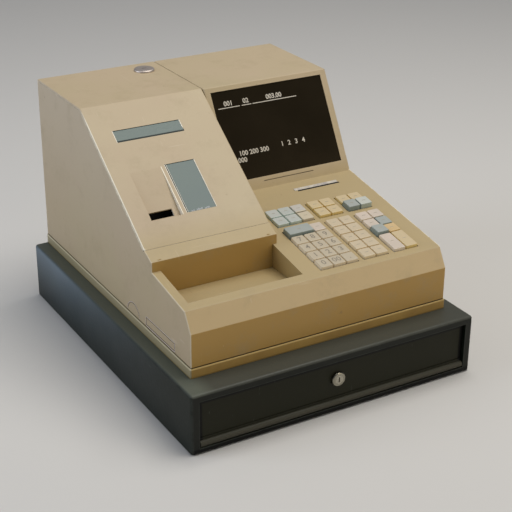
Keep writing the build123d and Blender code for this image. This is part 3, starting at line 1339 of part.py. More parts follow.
# Four pan-head screws in the back: two in the housing and two in the hood.
with BuildPart() as back_screws:
    with BuildSketch(Plane.XZ.offset(-body_back)):
        with Locations(*housing_screws, *hood_screws):
            Circle(SCREW_HEAD_RADIUS)
    extrude(amount=-SCREW_HEAD_HEIGHT)
    with BuildSketch(Plane.XZ.offset(-body_back)):
        with Locations(*housing_screws, *hood_screws):
            Circle(SCREW_RADIUS)
    extrude(amount=SCREW_LENGTH)
back_screws.part.label = "back_screws"
export_step(back_screws.part, "parts/back_screws.step")

# ---------------------------------------------------------------- keyboard
KEY_STOP_GAP = 1
FRAME_BELOW = KEY_SKIRT + KEY_TRAVEL + KEY_STOP_GAP
FRAME_PLATE = 2
FRAME_MARGIN = 5
HOLE_PLAY = 0.3


def cell(group, column, row, upper=False):
    """X and deck run of a key's centre; columns count from the left, rows from the front."""
    columns = KEY_GROUP_COLUMNS[group]
    rows = UPPER_GROUP_ROWS if upper else LOWER_GROUP_ROWS
    middle = UPPER_GROUP_RUN if upper else LOWER_GROUP_RUN
    x = KEY_GROUP_X[group] + (column - (columns - 1) / 2) * KEY_PITCH
    run = middle + (row - (rows - 1) / 2) * KEY_PITCH
    return x, run


def add_key(x, run, rise, across=1, along=1):
    """One key: skirt through the deck, chamfered cap and the stem that guides it."""
    width = across * KEY_PITCH - KEY_GAP
    length = along * KEY_PITCH - KEY_GAP
    outlines = []
    for height, shrink in (
        (-KEY_SKIRT, 0),
        (rise - KEY_CHAMFER, 2 * KEY_TAPER),
        (rise, 2 * (KEY_TAPER + KEY_CHAMFER)),
    ):
        with BuildSketch(deck_plane.offset(height)) as outline:
            with Locations((x, run)):
                RectangleRounded(width - shrink, length - shrink, KEY_CORNER)
        outlines.append(outline.sketch)
    loft(outlines, ruled=True)
    with BuildSketch(deck_plane.offset(-KEY_SKIRT)) as stem:
        with Locations((x, run)):
            Rectangle(STEM_SIZE, STEM_SIZE)
    extrude(stem.sketch, amount=-STEM_LENGTH)


def keys_of_the_board():
    """Each key or set of like keys: cells as (group, column, row, upper block, rise, across, along)."""
    low, mid, tall = KEY_RISE_LOW, KEY_RISE, KEY_RISE_TALL
    sets = {
        "key_00": [(0, 1, 0, False, mid, 1, 1)],
        "key_0": [(0, 0, 0, False, mid, 1, 1)],
        "key_point": [(0, 2, 0, False, mid, 1, 1)],
        "wide_key": [(0, 0.5, 4, False, tall, 2, 1)],
        "clear_key": [(0, 2, 4, False, mid, 1, 1)],
        "department_keys": [(0, column, row, True, mid, 1, 1) for column in (0, 1, 2) for row in (0, 1)],
        "yellow_keys": [(1, column, row, True, mid, 1, 1) for column in (0, 1) for row in (0, 1)]
        + [(2, column, 1, True, low, 1, 1) for column in (0, 1)],
        "slate_key": [(2, 0, 0, True, tall, 1, 1)],
        "green_key": [(2, 1, 0, True, tall, 1, 1)],
        "cream_keys": [(1, column, row, False, mid, 1, 1) for column in (0, 1) for row in range(5)],
        "white_function_keys": [(2, column, row, False, mid, 1, 1) for column, row in ((0, 4), (1, 4), (0, 3))],
        "blue_function_keys": [(2, 1, 3, False, mid, 1, 1), (2, 0, 2, False, tall, 1, 1)],
        "orange_key": [(2, 1, 2, False, mid, 1, 1)],
        "tender_key": [(2, 0, 0.5, False, mid, 1, 2)],
        "total_key": [(2, 1, 0.5, False, mid, 1, 2)],
    }
    for digit in range(1, 10):
        sets[f"key_{digit}"] = [(0, (digit - 1) % 3, 1 + (digit - 1) // 3, False, mid, 1, 1)]
    return sets


key_sets = keys_of_the_board()
for key_name, cells in key_sets.items():
    with BuildPart() as key:
        for group, column, row, upper, rise, across, along in cells:
            add_key(*cell(group, column, row, upper), rise, across, along)
    key.part.label = key_name
    export_step(key.part, f"parts/{key_name}.step")

# Moulded frame under the deck whose square holes guide the stems.
frame_left = KEY_GROUP_X[0] - KEY_GROUP_COLUMNS[0] / 2 * KEY_PITCH - FRAME_MARGIN
frame_right = KEY_GROUP_X[2] + KEY_GROUP_COLUMNS[2] / 2 * KEY_PITCH + FRAME_MARGIN
frame_near = LOWER_GROUP_RUN - LOWER_GROUP_ROWS / 2 * KEY_PITCH - FRAME_MARGIN
frame_far = UPPER_GROUP_RUN + UPPER_GROUP_ROWS / 2 * KEY_PITCH + FRAME_MARGIN
frame_centre = ((frame_left + frame_right) / 2, (frame_near + frame_far) / 2)
with BuildPart() as keyboard_frame:
    with BuildSketch(deck_plane.offset(-WALL)):
        with Locations(frame_centre):
            Rectangle(frame_right - frame_left, frame_far - frame_near)
    extrude(amount=-(FRAME_BELOW + FRAME_PLATE - WALL))
    with BuildSketch(deck_plane.offset(-WALL)):
        with Locations(frame_centre):
            Rectangle(
                frame_right - frame_left - 2 * FRAME_PLATE,
                frame_far - frame_near - 2 * FRAME_PLATE,
            )
    extrude(amount=-(FRAME_BELOW - WALL), mode=Mode.SUBTRACT)
    with BuildSketch(deck_plane.offset(-FRAME_BELOW)):
        for cells in key_sets.values():
            for group, column, row, upper, rise, across, along in cells:
                with Locations(cell(group, column, row, upper)):
                    Rectangle(STEM_SIZE + 2 * HOLE_PLAY, STEM_SIZE + 2 * HOLE_PLAY)
    extrude(amount=-2 * FRAME_PLATE, mode=Mode.SUBTRACT)
keyboard_frame.part.label = "keyboard_frame"
export_step(keyboard_frame.part, "parts/keyboard_frame.step")
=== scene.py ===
"""Looks of the counter register: enamelled steel drawer, aged beige mouldings, smoked window and keys."""
import math

import bpy
from mathutils import Matrix, Vector


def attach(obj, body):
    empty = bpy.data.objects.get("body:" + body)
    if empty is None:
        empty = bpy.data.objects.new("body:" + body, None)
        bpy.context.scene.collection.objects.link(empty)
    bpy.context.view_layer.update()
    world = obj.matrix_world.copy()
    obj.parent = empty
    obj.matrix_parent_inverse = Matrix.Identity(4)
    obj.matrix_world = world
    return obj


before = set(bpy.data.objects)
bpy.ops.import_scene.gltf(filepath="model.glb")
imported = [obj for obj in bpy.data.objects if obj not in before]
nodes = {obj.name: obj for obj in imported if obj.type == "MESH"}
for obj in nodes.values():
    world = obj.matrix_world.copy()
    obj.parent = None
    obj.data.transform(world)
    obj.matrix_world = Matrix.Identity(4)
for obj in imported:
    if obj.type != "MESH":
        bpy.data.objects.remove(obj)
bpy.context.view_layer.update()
bpy.ops.object.select_all(action="DESELECT")
bpy.context.scene.view_settings.view_transform = "Standard"

# ---------------------------------------------------------------- drawer cabinet
# Folded sheet steel, spot-welded and stove-enamelled in a dark grey-green. The enamel has a slight orange
# peel, wears down to a lighter undercoat on its edges and carries hairline scratches. Painted light lies in
# its colour: a painted cool sheen on the left side over a darker copy of the enamel, lighter upward faces
# with a lighter ledge on the left, and painted shade in its seams and recesses and on the rail under the
# drawer.
ENAMEL = (0.0135, 0.0150, 0.0115)
ENAMEL_PATCH = (0.0175, 0.0190, 0.0155)
# The left side: a darker, shaded copy of the enamel under a painted cool sheen, a painted reflection.
ENAMEL_SHADED_SIDE = (0.0078, 0.0115, 0.0078)
ENAMEL_PAINTED_SHEEN = (0.136, 0.184, 0.224)
# Painted light: upward faces lighter, the ledge on the left lighter still.
ENAMEL_LIT_TOP = (0.060, 0.062, 0.050)
ENAMEL_LIT_LEDGE = (0.098, 0.108, 0.086)
ENAMEL_UNDERCOAT = (0.085, 0.095, 0.085)
# Painted shade for seams, recesses and the rail under the drawer.
ENAMEL_SHADE = (0.002, 0.002, 0.0015)
# Ranges of a surface normal, from not at all to wholly that way.
FACING_LEFT = (-0.3, -0.9)
FACING_FRONT = (-0.6, -0.9)
FACING_UP = (0.15, 0.8)
# Places between which the painted sheen and the painted light on the ledge set in, in metres.
SHEEN_REARWARDS = (-0.24, 0.16)
SHEEN_FOOT = -0.02
SHEEN_FALLOFF = 2.1
LEDGE_LEFTWARDS = (-0.170, -0.188)
# The top of the rail that gets painted shade lies this far below the drawer.
RAIL_BELOW_DRAWER = 0.0007
SHARP = 0.0004
# Values of a noise or of an occlusion between which a mask sets in.
THIN_WALL = (0.0, 0.22)
CHIPS = (0.34, 0.56)
RECESS = (0.30, 0.85)
PATCHES = (0.34, 0.68)
SPECKS = (0.74, 0.80)
SCRATCHES = (0.73, 0.77)
# The turn and the stretch of each set of scratches, and the tilt that both sets share.
SCRATCH_SETS = ((0.5, (14, 420, 60)), (-0.9, (380, 12, 60)))
SCRATCH_TILT = (0.3, 0.2)
OCCLUSION_RAYS = 8


def extent(node, name):
    """The lowest and the highest place of a CAD node along X, Y or Z."""
    index = "XYZ".index(name)
    places = [vertex.co[index] for vertex in nodes[node].data.vertices]
    return min(places), max(places)


def link(tree, source, target):
    """Joins an output to an input."""
    tree.links.new(source, target)


def feed(tree, value, target):
    """Gives an input either a number or colour of its own or an output to read."""
    if isinstance(value, bpy.types.NodeSocket):
        link(tree, value, target)
    elif isinstance(value, tuple):
        target.default_value = (*value, 1)
    else:
        target.default_value = value


def compute(tree, operation, first, second=0.5):
    """A Math node; gives its output."""
    node = tree.nodes.new("ShaderNodeMath")
    node.operation = operation
    feed(tree, first, node.inputs[0])
    feed(tree, second, node.inputs[1])
    return node.outputs[0]


def both(tree, first, second):
    """Where two masks hold together."""
    return compute(tree, "MULTIPLY", first, second)


def either(tree, first, second):
    """Where one of two masks holds."""
    return compute(tree, "MAXIMUM", first, second)


def size_of(tree, value):
    """A value without its sign."""
    return compute(tree, "ABSOLUTE", value)


def remap(tree, value, from_low, from_high, to_low=0.0, to_high=1.0):
    """Stretches a value from one range to another, and holds it there."""
    node = tree.nodes.new("ShaderNodeMapRange")
    node.inputs["From Min"].default_value = from_low
    node.inputs["From Max"].default_value = from_high
    node.inputs["To Min"].default_value = to_low
    node.inputs["To Max"].default_value = to_high
    link(tree, value, node.inputs["Value"])
    return node.outputs["Result"]


def blend(tree, mask, first, second):
    """Mixes two colours by a mask."""
    node = tree.nodes.new("ShaderNodeMix")
    node.data_type = "RGBA"
    feed(tree, mask, node.inputs["Factor"])
    feed(tree, first, node.inputs[6])
    feed(tree, second, node.inputs[7])
    return node.outputs[2]


def object_place(tree):
    """The object's own coordinates."""
    return tree.nodes.new("ShaderNodeTexCoord").outputs["Object"]


def axis(tree, vector, name):
    """One component of a vector."""
    node = tree.nodes.new("ShaderNodeSeparateXYZ")
    link(tree, vector, node.inputs[0])
    return node.outputs[name]


def faces(tree, name):
    """How far the surface faces along X, Y or Z."""
    return axis(tree, tree.nodes.new("ShaderNodeTexCoord").outputs["Normal"], name)


def noise(tree, place, scale, detail, roughness):
    """Noise; gives its factor."""
    node = tree.nodes.new("ShaderNodeTexNoise")
    node.inputs["Detail"].default_value = detail
    node.inputs["Roughness"].default_value = roughness
    link(tree, place, node.inputs["Vector"])
    feed(tree, scale, node.inputs["Scale"])
    return node.outputs["Fac"]


def new_group(name, inputs, outputs):
    """An empty node group; gives its tree and its two ends."""
    tree = bpy.data.node_groups.new(name, "ShaderNodeTree")
    for label, value in inputs.items():
        socket = tree.interface.new_socket(name=label, in_out="INPUT", socket_type="NodeSocketFloat")
        socket.default_value = value
    for label in outputs:
        tree.interface.new_socket(name=label, in_out="OUTPUT", socket_type="NodeSocketFloat")
    return tree, tree.nodes.new("NodeGroupInput").outputs, tree.nodes.new("NodeGroupOutput").inputs


def occlusion(tree, reach, inside):
    """How much lies within reach of the surface: outside it, or inside its own wall."""
    node = tree.nodes.new("ShaderNodeAmbientOcclusion")
    node.samples = OCCLUSION_RAYS
    node.inside = inside
    node.only_local = inside
    feed(tree, reach, node.inputs["Distance"])
    return compute(tree, "SUBTRACT", 1.0, node.outputs["AO"])


def group_of_edge_wear_and_highlight():
    """Pale edges, partly from wear and in some uses a painted highlight: where the wall behind the surface
    soon ends, broken up by noise.
    """
    knobs = {"Reach": 0.0012, "Amount": 1.0, "Break": 60.0, "Start": 0.06}
    tree, knob, out = new_group("edge wear and highlight", knobs, ["Mask"])
    beyond = compute(tree, "SUBTRACT", occlusion(tree, knob["Reach"], inside=True), knob["Start"])
    edge = remap(tree, beyond, *THIN_WALL)
    chips = noise(tree, object_place(tree), knob["Break"], detail=5.0, roughness=0.7)
    broken = both(tree, edge, remap(tree, chips, *CHIPS))
    link(tree, both(tree, broken, knob["Amount"]), out["Mask"])
    return tree


def group_of_recess_shade():
    """Painted shade that darkens seams and recesses, where other surfaces lie within reach."""
    tree, knob, out = new_group("recess shade", {"Reach": 0.004, "Amount": 1.0}, ["Mask"])
    recess = remap(tree, occlusion(tree, knob["Reach"], inside=False), *RECESS)
    link(tree, both(tree, recess, knob["Amount"]), out["Mask"])
    return tree


def group_of_aged_patches():
    """Broad patches of ageing, with a few small specks."""
    tree, knob, out = new_group("aged patches", {"Scale": 8.0, "Fine": 120.0}, ["Broad", "Specks"])
    place = object_place(tree)
    clouds = noise(tree, place, knob["Scale"], detail=4.0, roughness=0.6)
    link(tree, remap(tree, clouds, *PATCHES), out["Broad"])
    dots = noise(tree, place, knob["Fine"], detail=2.0, roughness=0.5)
    link(tree, remap(tree, dots, *SPECKS), out["Specks"])
    return tree


def group_of_surface_grain():
    """Height of a fine surface: a crisp grain on a soft waviness."""
    knobs = {"Grain": 900.0, "Wave": 60.0, "Waviness": 0.5}
    tree, knob, out = new_group("surface grain", knobs, ["Height"])
    place = object_place(tree)
    swell = noise(tree, place, knob["Wave"], detail=2.0, roughness=0.5)
    crisp = noise(tree, place, knob["Grain"], detail=2.0, roughness=0.5)
    wave = compute(tree, "MULTIPLY", swell, knob["Waviness"])
    link(tree, compute(tree, "ADD", crisp, wave), out["Height"])
    return tree


def group_of_hairline_scratches():
    """Hairline scratches in two directions: noise that is drawn out one way."""
    tree, knob, out = new_group("hairline scratches", {"Density": 0.5}, ["Mask"])
    place = object_place(tree)
    lines = []
    for turn, stretch in SCRATCH_SETS:
        mapping = tree.nodes.new("ShaderNodeMapping")
        mapping.inputs["Rotation"].default_value = (*SCRATCH_TILT, turn)
        mapping.inputs["Scale"].default_value = stretch
        link(tree, place, mapping.inputs["Vector"])
        drawn_out = noise(tree, mapping.outputs["Vector"], 1.0, detail=2.0, roughness=0.5)
        lines.append(remap(tree, drawn_out, *SCRATCHES))
    link(tree, both(tree, either(tree, *lines), knob["Density"]), out["Mask"])
    return tree


edge_wear_and_highlight = group_of_edge_wear_and_highlight()
recess_shade = group_of_recess_shade()
aged_patches = group_of_aged_patches()
surface_grain = group_of_surface_grain()
hairline_scratches = group_of_hairline_scratches()


def use(tree, group, **values):
    """Places a node group in a material with its own values; gives its outputs."""
    node = tree.nodes.new("ShaderNodeGroup")
    node.node_tree = group
    for name, value in values.items():
        node.inputs[name.capitalize()].default_value = value
    return node.outputs


def overlay(tree, group, under, over, **values):
    """Lays one colour over another where a group's mask says."""
    return blend(tree, use(tree, group, **values)["Mask"], under, over)


def new_material(name, roughness, metallic=0.0, specular=0.5):
    """A material with one Principled shader; gives the material, its tree and the shader."""
    material = bpy.data.materials.new(name)
    material.use_nodes = True
    shader = material.node_tree.nodes["Principled BSDF"]
    shader.inputs["Roughness"].default_value = roughness
    shader.inputs["Metallic"].default_value = metallic
    shader.inputs["Specular IOR Level"].default_value = specular
    return material, material.node_tree, shader


def polish(tree, shader, age, smooth, rough):
    """Lets the roughness wander between two values with the patches of ageing."""
    link(tree, remap(tree, age["Broad"], 0, 1, smooth, rough), shader.inputs["Roughness"])


def texture(tree, shader, strength, distance=0.0002, **values):
    """Bumps the surface by the grain that its making left."""
    node = tree.nodes.new("ShaderNodeBump")
    node.inputs["Strength"].default_value = strength
    node.inputs["Distance"].default_value = distance
    link(tree, use(tree, surface_grain, **values)["Height"], node.inputs["Height"])
    link(tree, node.outputs["Normal"], shader.inputs["Normal"])


def steel_finish(name, coat, shade_amount, wear):
    """Stove enamel over a coat's colour: scratches, painted shade in the seams and recesses, and edges that
    wear to the undercoat.
    """
    material, tree, shader = new_material(name, roughness=0.4, specular=0.16)
    age = use(tree, aged_patches, scale=7.0, fine=300.0)
    scratched = overlay(tree, hairline_scratches, coat(tree, age), ENAMEL_UNDERCOAT, density=0.3)
    # Painted shade in seams and recesses.
    darkened = overlay(tree, recess_shade, scratched, ENAMEL_SHADE, reach=0.007, amount=shade_amount)
    lightened = overlay(tree, edge_wear_and_highlight, darkened, ENAMEL_UNDERCOAT, reach=0.0016, amount=wear)
    link(tree, lightened, shader.inputs["Base Color"])
    polish(tree, shader, age, smooth=0.34, rough=0.46)
    texture(tree, shader, strength=0.25, distance=0.0003, grain=700.0, wave=160.0, waviness=1.2)
    return material


def dress(material, *names):
    """Gives CAD nodes their finish."""
    for name in names:
        for slot in nodes[name].material_slots:
            slot.material = material


cabinet_top = extent("drawer_cabinet", "Z")[1]
rail_top = extent("drawer_box", "Z")[0] - RAIL_BELOW_DRAWER


def painted_left_sheen(tree, place, left_side):
    """A painted sheen on the left side, strongest up and to the rear."""
    rearwards = remap(tree, axis(tree, place, "Y"), *SHEEN_REARWARDS)
    upwards = remap(tree, axis(tree, place, "Z"), SHEEN_FOOT, cabinet_top)
    sheen = compute(tree, "POWER", both(tree, rearwards, upwards), SHEEN_FALLOFF)
    return both(tree, sheen, left_side)


def cabinet_coat(tree, age):
    """Grey-green, with a painted cool sheen on the left, painted light on upward faces and the ledge, and
    painted shade on the rail under the drawer.
    """
    place = object_place(tree)
    left_side = remap(tree, faces(tree, "X"), *FACING_LEFT)
    ledge = remap(tree, axis(tree, place, "X"), *LEDGE_LEFTWARDS)
    top = blend(tree, ledge, ENAMEL_LIT_TOP, ENAMEL_LIT_LEDGE)
    aged = blend(tree, age["Broad"], ENAMEL, ENAMEL_PATCH)
    body = blend(tree, remap(tree, faces(tree, "Z"), *FACING_UP), aged, top)
    side = blend(tree, painted_left_sheen(tree, place, left_side), ENAMEL_SHADED_SIDE, ENAMEL_PAINTED_SHEEN)
    # Painted shade on the front of the rail below the drawer.
    front = remap(tree, faces(tree, "Y"), *FACING_FRONT)
    low = remap(tree, axis(tree, place, "Z"), rail_top + SHARP, rail_top)
    return blend(tree, both(tree, front, low), blend(tree, left_side, body, side), ENAMEL_SHADE)


dress(steel_finish("dark enamel", cabinet_coat, shade_amount=0.25, wear=0.25), "drawer_cabinet")

# ---------------------------------------------------------------- drawer
# Folded steel tray behind a pressed panel, whose lower edge is rolled into a grip. Both are enamelled in an
# olive black; painted shade darkens the panel along its top and ends, and a painted highlight lies on the
# grip below.
DRAWER_ENAMEL = (0.0150, 0.0152, 0.0068)
DRAWER_ENAMEL_PATCH = (0.0180, 0.0180, 0.0090)
DRAWER_GRIP_HIGHLIGHT = (0.060, 0.058, 0.042)
GRIP_HEIGHT = 0.0086
SHADE_BELOW_TOP = (0.0058, 0.0032)
SHADE_BEFORE_END = (0.0054, 0.0034)
panel_bottom, panel_top = extent("drawer_front", "Z")
panel_end = extent("drawer_front", "X")[1]


def drawer_coat(tree, age):
    """Olive black, with painted shade along the panel's top and ends and a painted highlight on the grip."""
    place = object_place(tree)
    height = axis(tree, place, "Z")
    panel = blend(tree, age["Broad"], DRAWER_ENAMEL, DRAWER_ENAMEL_PATCH)
    # Painted shade below the frame's top rail and beside the opening's ends.
    near_top = remap(tree, height, *(panel_top - depth for depth in SHADE_BELOW_TOP))
    off_middle = size_of(tree, axis(tree, place, "X"))
    near_end = remap(tree, off_middle, *(panel_end - depth for depth in SHADE_BEFORE_END))
    darkened = blend(tree, either(tree, near_top, near_end), panel, ENAMEL_SHADE)
    # Painted highlight on the rounded grip.
    grip_top = panel_bottom + GRIP_HEIGHT
    return blend(tree, remap(tree, height, grip_top + SHARP, grip_top), darkened, DRAWER_GRIP_HIGHLIGHT)


dress(steel_finish("drawer enamel", drawer_coat, shade_amount=0.45, wear=0.06), "drawer_front", "drawer_box")

# ---------------------------------------------------------------- feet, runners and release
# Bonded rubber feet and the cord's gland. Runners, clips, spring, solenoid, latch, pin and
# screws are of zinc-plated steel, dulled where they have been handled.
RUBBER = (0.022, 0.021, 0.020)
RUBBER_DUST = (0.06, 0.055, 0.05)
ZINC = (0.52, 0.53, 0.52)
ZINC_DULL = (0.36, 0.36, 0.34)


def matt(name, colour, dust):
    """Matt rubber, felt or paper with dust on it."""
    material, tree, shader = new_material(name, roughness=0.8, specular=0.3)
    age = use(tree, aged_patches, scale=40.0, fine=500.0)
    link(tree, blend(tree, age["Broad"], colour, dust), shader.inputs["Base Color"])
    texture(tree, shader, strength=0.3, grain=1200.0, wave=200.0, waviness=0.5)
    return material


def plated(name, bright, dull, smooth, rough):
    """Bright metal with duller patches and hairline scratches."""
    material, tree, shader = new_material(name, roughness=smooth, metallic=1.0)
    age = use(tree, aged_patches, scale=60.0, fine=900.0)
    base = blend(tree, age["Broad"], bright, dull)
    scratched = overlay(tree, hairline_scratches, base, dull, density=0.5)
    link(tree, scratched, shader.inputs["Base Color"])
    polish(tree, shader, age, smooth, rough)
    texture(tree, shader, strength=0.08, grain=1500.0, wave=120.0, waviness=0.8)
    return material


black_rubber = matt("black rubber", RUBBER, RUBBER_DUST)
dress(black_rubber, "rubber_feet", "cord_inlet")
dress(
    plated("zinc plate", ZINC, ZINC_DULL, smooth=0.28, rough=0.46),
    "cabinet_slides", "drawer_slides", "clip_rod", "bill_clips", "kick_spring", "latch_solenoid",
    "latch_lever", "hinge_pin", "printer_frame", "back_screws",
)

# ---------------------------------------------------------------- locks
# Turned barrels with a domed head, held by a nut behind the sheet, and a plug that turns in
# each. The drawer's is chromed bright with a nickelled plug, the cover's has a satin finish.
CHROME = (0.38, 0.36, 0.29)
CHROME_DULL = (0.25, 0.23, 0.18)
NICKEL = (0.48, 0.45, 0.37)
NICKEL_DULL = (0.34, 0.32, 0.26)
SATIN = (0.60, 0.54, 0.50)
SATIN_DULL = (0.48, 0.42, 0.38)
dress(plated("chrome plate", CHROME, CHROME_DULL, smooth=0.18, rough=0.32), "drawer_lock_barrel")
dress(plated("nickelled plug", NICKEL, NICKEL_DULL, smooth=0.26, rough=0.40), "drawer_lock_plug")
satin_chrome = plated("satin chrome", SATIN, SATIN_DULL, smooth=0.42, rough=0.55)
dress(satin_chrome, "cover_lock_barrel", "cover_lock_plug")

# ---------------------------------------------------------------- till insert
# A tray moulded in one piece of nearly black plastic, which lies in the drawer. It is worn grey
# where coins have slid over the scoops of its cups.
TILL = (0.028, 0.028, 0.029)
TILL_WORN = (0.10, 0.10, 0.10)
UNEVENNESS = 0.06


def moulding(name, colour, patch, edge, wear, roughness, strength=0.2):
    """Injection moulding with a fine texture, patchy with age and paler at its edges."""
    material, tree, shader = new_material(name, roughness=roughness)
    age = use(tree, aged_patches, scale=9.0, fine=260.0)
    base = blend(tree, age["Broad"], colour, patch)
    lightened = overlay(tree, edge_wear_and_highlight, base, edge, reach=0.0010, amount=wear)
    link(tree, lightened, shader.inputs["Base Color"])
    polish(tree, shader, age, roughness - UNEVENNESS, roughness + UNEVENNESS)
    texture(tree, shader, strength, grain=1100.0, wave=40.0, waviness=0.4)
    return material


dress(moulding("till moulding", TILL, TILL_WORN, TILL_WORN, wear=0.6, roughness=0.45), "till_insert")

# ---------------------------------------------------------------- base pan
# Shallow pan under the register, moulded in a darker ochre than the housing. It stands a little proud and is
# darker at its foot. Painted light lies on it: a greyer tone on its sides and a painted highlight along its
# rim; painted shade lies in the seam above it.
PAN = (0.47, 0.30, 0.085)
PAN_PATCH = (0.34, 0.205, 0.055)
PAN_RIM_HIGHLIGHT = (0.74, 0.54, 0.22)
PAN_SEAM_SHADE = (0.09, 0.055, 0.015)
PAN_FOOT = (0.20, 0.13, 0.03)
PAN_LIT_SIDE = (0.34, 0.29, 0.17)
PAN_RIM_SIDE_HIGHLIGHT = (0.62, 0.56, 0.38)
PAN_FACING_SIDEWAYS = (0.4, 0.9)
PAN_FACING_UP = (0.5, 0.9)
RIM_DEPTH = 0.0016
FLANK_DEPTH = 0.0009
FLANK_BLUR = 0.0006
SEAM_BEHIND = (0.0004, 0.0007)
FOOT_ABOVE = (0.0020, 0.0008)
FOOT_DARKENING = 0.8
pan_bottom, pan_top = extent("base_tray", "Z")
pan_front = extent("base_tray", "Y")[0]
pan_flank = extent("base_tray", "X")[1] - FLANK_DEPTH


def pan_moulding(name):
    """The pan: ochre in front, with a greyer tone of painted light on its sides, a painted highlight on its
    rim, darker at its foot and painted shade in the seam.
    """
    material, tree, shader = new_material(name, roughness=0.5)
    age = use(tree, aged_patches, scale=14.0, fine=260.0)
    place = object_place(tree)
    height = axis(tree, place, "Z")
    facing = remap(tree, size_of(tree, faces(tree, "X")), *PAN_FACING_SIDEWAYS)
    off_middle = size_of(tree, axis(tree, place, "X"))
    outermost = remap(tree, off_middle, pan_flank - FLANK_BLUR, pan_flank)
    sideways = either(tree, facing, outermost)
    front = blend(tree, age["Broad"], PAN, PAN_PATCH)
    # Painted light: a greyer tone on faces and ends turned sideways.
    walls = blend(tree, sideways, front, PAN_LIT_SIDE)
    rim_foot = pan_top - RIM_DEPTH
    above = remap(tree, height, rim_foot - SHARP, rim_foot)
    # Painted highlight on the top of the rim.
    rimmed = blend(tree, above, walls, blend(tree, sideways, PAN_RIM_HIGHLIGHT, PAN_RIM_SIDE_HIGHLIGHT))
    # Darker along the foot.
    foot = remap(tree, height, *(pan_bottom + rise for rise in FOOT_ABOVE), 0.0, FOOT_DARKENING)
    footed = blend(tree, foot, rimmed, PAN_FOOT)
    # Painted shade in the seam between pan and housing.
    behind = remap(tree, axis(tree, place, "Y"), *(pan_front + depth for depth in SEAM_BEHIND))
    inside = both(tree, behind, compute(tree, "SUBTRACT", 1.0, outermost))
    seam = both(tree, inside, remap(tree, faces(tree, "Z"), *PAN_FACING_UP))
    link(tree, blend(tree, seam, footed, PAN_SEAM_SHADE), shader.inputs["Base Color"])
    polish(tree, shader, age, smooth=0.42, rough=0.56)
    texture(tree, shader, strength=0.25, grain=1100.0, wave=40.0, waviness=0.4)
    return material


dress(pan_moulding("ochre moulding"), "base_tray")

# ---------------------------------------------------------------- circuit boards
# Lacquered green laminate. The logic board lies on the pan's posts, with dark epoxy packages
# soldered to it, and the display board stands on two feet behind the window.
LAMINATE = (0.03, 0.12, 0.05)
LAMINATE_PATCH = (0.05, 0.15, 0.07)
PACKAGE = (0.018, 0.018, 0.020)
LAMINATE_THICKNESS = 0.0016
# Packages start a hair above the laminate, and the display board has none.
HAIR = 0.0001
OUT_OF_REACH = 1.0


def laminate(name, packages_above):
    """Green circuit laminate; what stands above a height is dark epoxy."""
    material, tree, shader = new_material(name, roughness=0.35)
    age = use(tree, aged_patches, scale=25.0, fine=400.0)
    board = blend(tree, age["Broad"], LAMINATE, LAMINATE_PATCH)
    package = compute(tree, "GREATER_THAN", axis(tree, object_place(tree), "Z"), packages_above)
    link(tree, blend(tree, package, board, PACKAGE), shader.inputs["Base Color"])
    texture(tree, shader, strength=0.1, grain=500.0, wave=300.0, waviness=0.5)
    return material


logic_board_top = extent("main_board", "Z")[0] + LAMINATE_THICKNESS
dress(laminate("logic board laminate", packages_above=logic_board_top + HAIR), "main_board")
dress(laminate("display board laminate", packages_above=OUT_OF_REACH), "display_board")

# ---------------------------------------------------------------- housing, hood and cover
# Beige mouldings of one batch, deeper yellow in the tray, with small dark nicks. Screws at the back hold the
# housing and the hood, and the cover swings on a pin. Painted light lies in the colour: a warm yellow on what
# faces the operator, a lighter tone on forward slopes and up the left side, and painted shade in recesses and
# seams. The outer corners carry a pale line, partly wear and partly painted highlight, the rims inside much
# less.
BEIGE = (0.456, 0.371, 0.226)
BEIGE_PINK = (0.474, 0.374, 0.250)
# Painted light: lighter up the left side, lighter on forward slopes, a warm yellow on faces turned to the
# front.
BEIGE_LIT_LEFT = (0.535, 0.445, 0.325)
BEIGE_HANDLED = (0.425, 0.330, 0.172)
BEIGE_LIT_SLOPE = (0.560, 0.448, 0.272)
BEIGE_WARM_LIT_FRONT = (0.455, 0.278, 0.074)
# Painted shade in recesses and seams; the seam colour also darkens the foot.
BEIGE_SHADE = (0.33, 0.215, 0.06)
BEIGE_SEAM = (0.075, 0.05, 0.02)
# Pale edges: wear and painted highlight, and scuffs.
BEIGE_EDGE = (0.90, 0.84, 0.68)
BEIGE_NICK = (0.24, 0.16, 0.08)
BEIGE_GRIME = (0.36, 0.285, 0.165)
TRAY_WALL = (0.42, 0.31, 0.135)
# Painted light on the receipt chute's right wall.
LIT_CHUTE_WALL = (0.95, 0.90, 0.78)
# Ranges of a surface normal, as above.
SIDE_FACING_LEFT = (-0.4, -0.9)
SLOPE_FACING_FRONT = (-0.65, -0.80)
WALL_FACING_FRONT = (-0.80, -1.0)
CORNER_TURNING_LEFT = (-0.10, -0.40)
CORNER_SHORT_OF_SIDE = (-0.97, -0.90)
LEVEL_SPREAD = 0.15
# Heights between which a colour sets in, the last ones above the foot of the housing.
LIT_LEFT_HEIGHTS = (0.15, 0.32)
HANDLED_HEIGHTS = (0.217, 0.197)
WORN_HEIGHTS = (0.125, 0.135)
FOOT_DARKENING_ABOVE = (0.0018, 0.0010)
# How strong the darkening at the foot, the grime and the nicks are, and the noise where grime sets in.
HOUSING_FOOT_DARKENING = 0.85
GRIME_AMOUNT = 0.42
NICK_AMOUNT = 0.4
GRIME_CLOUDS = (0.52, 0.74)
# The outer walls, then the nose and the shoulder along Y with how strong their pale edge line of wear and
# painted highlight is.
WALL_DEPTH = 0.0015
CORNER_BLUR = 0.002
INNER_BLUR = 0.001
NOSE = (-0.189, -0.190)
NOSE_WEAR = 0.3
SHOULDER = (0.094, 0.074)
BEHIND_SHOULDER_WEAR = 0.25
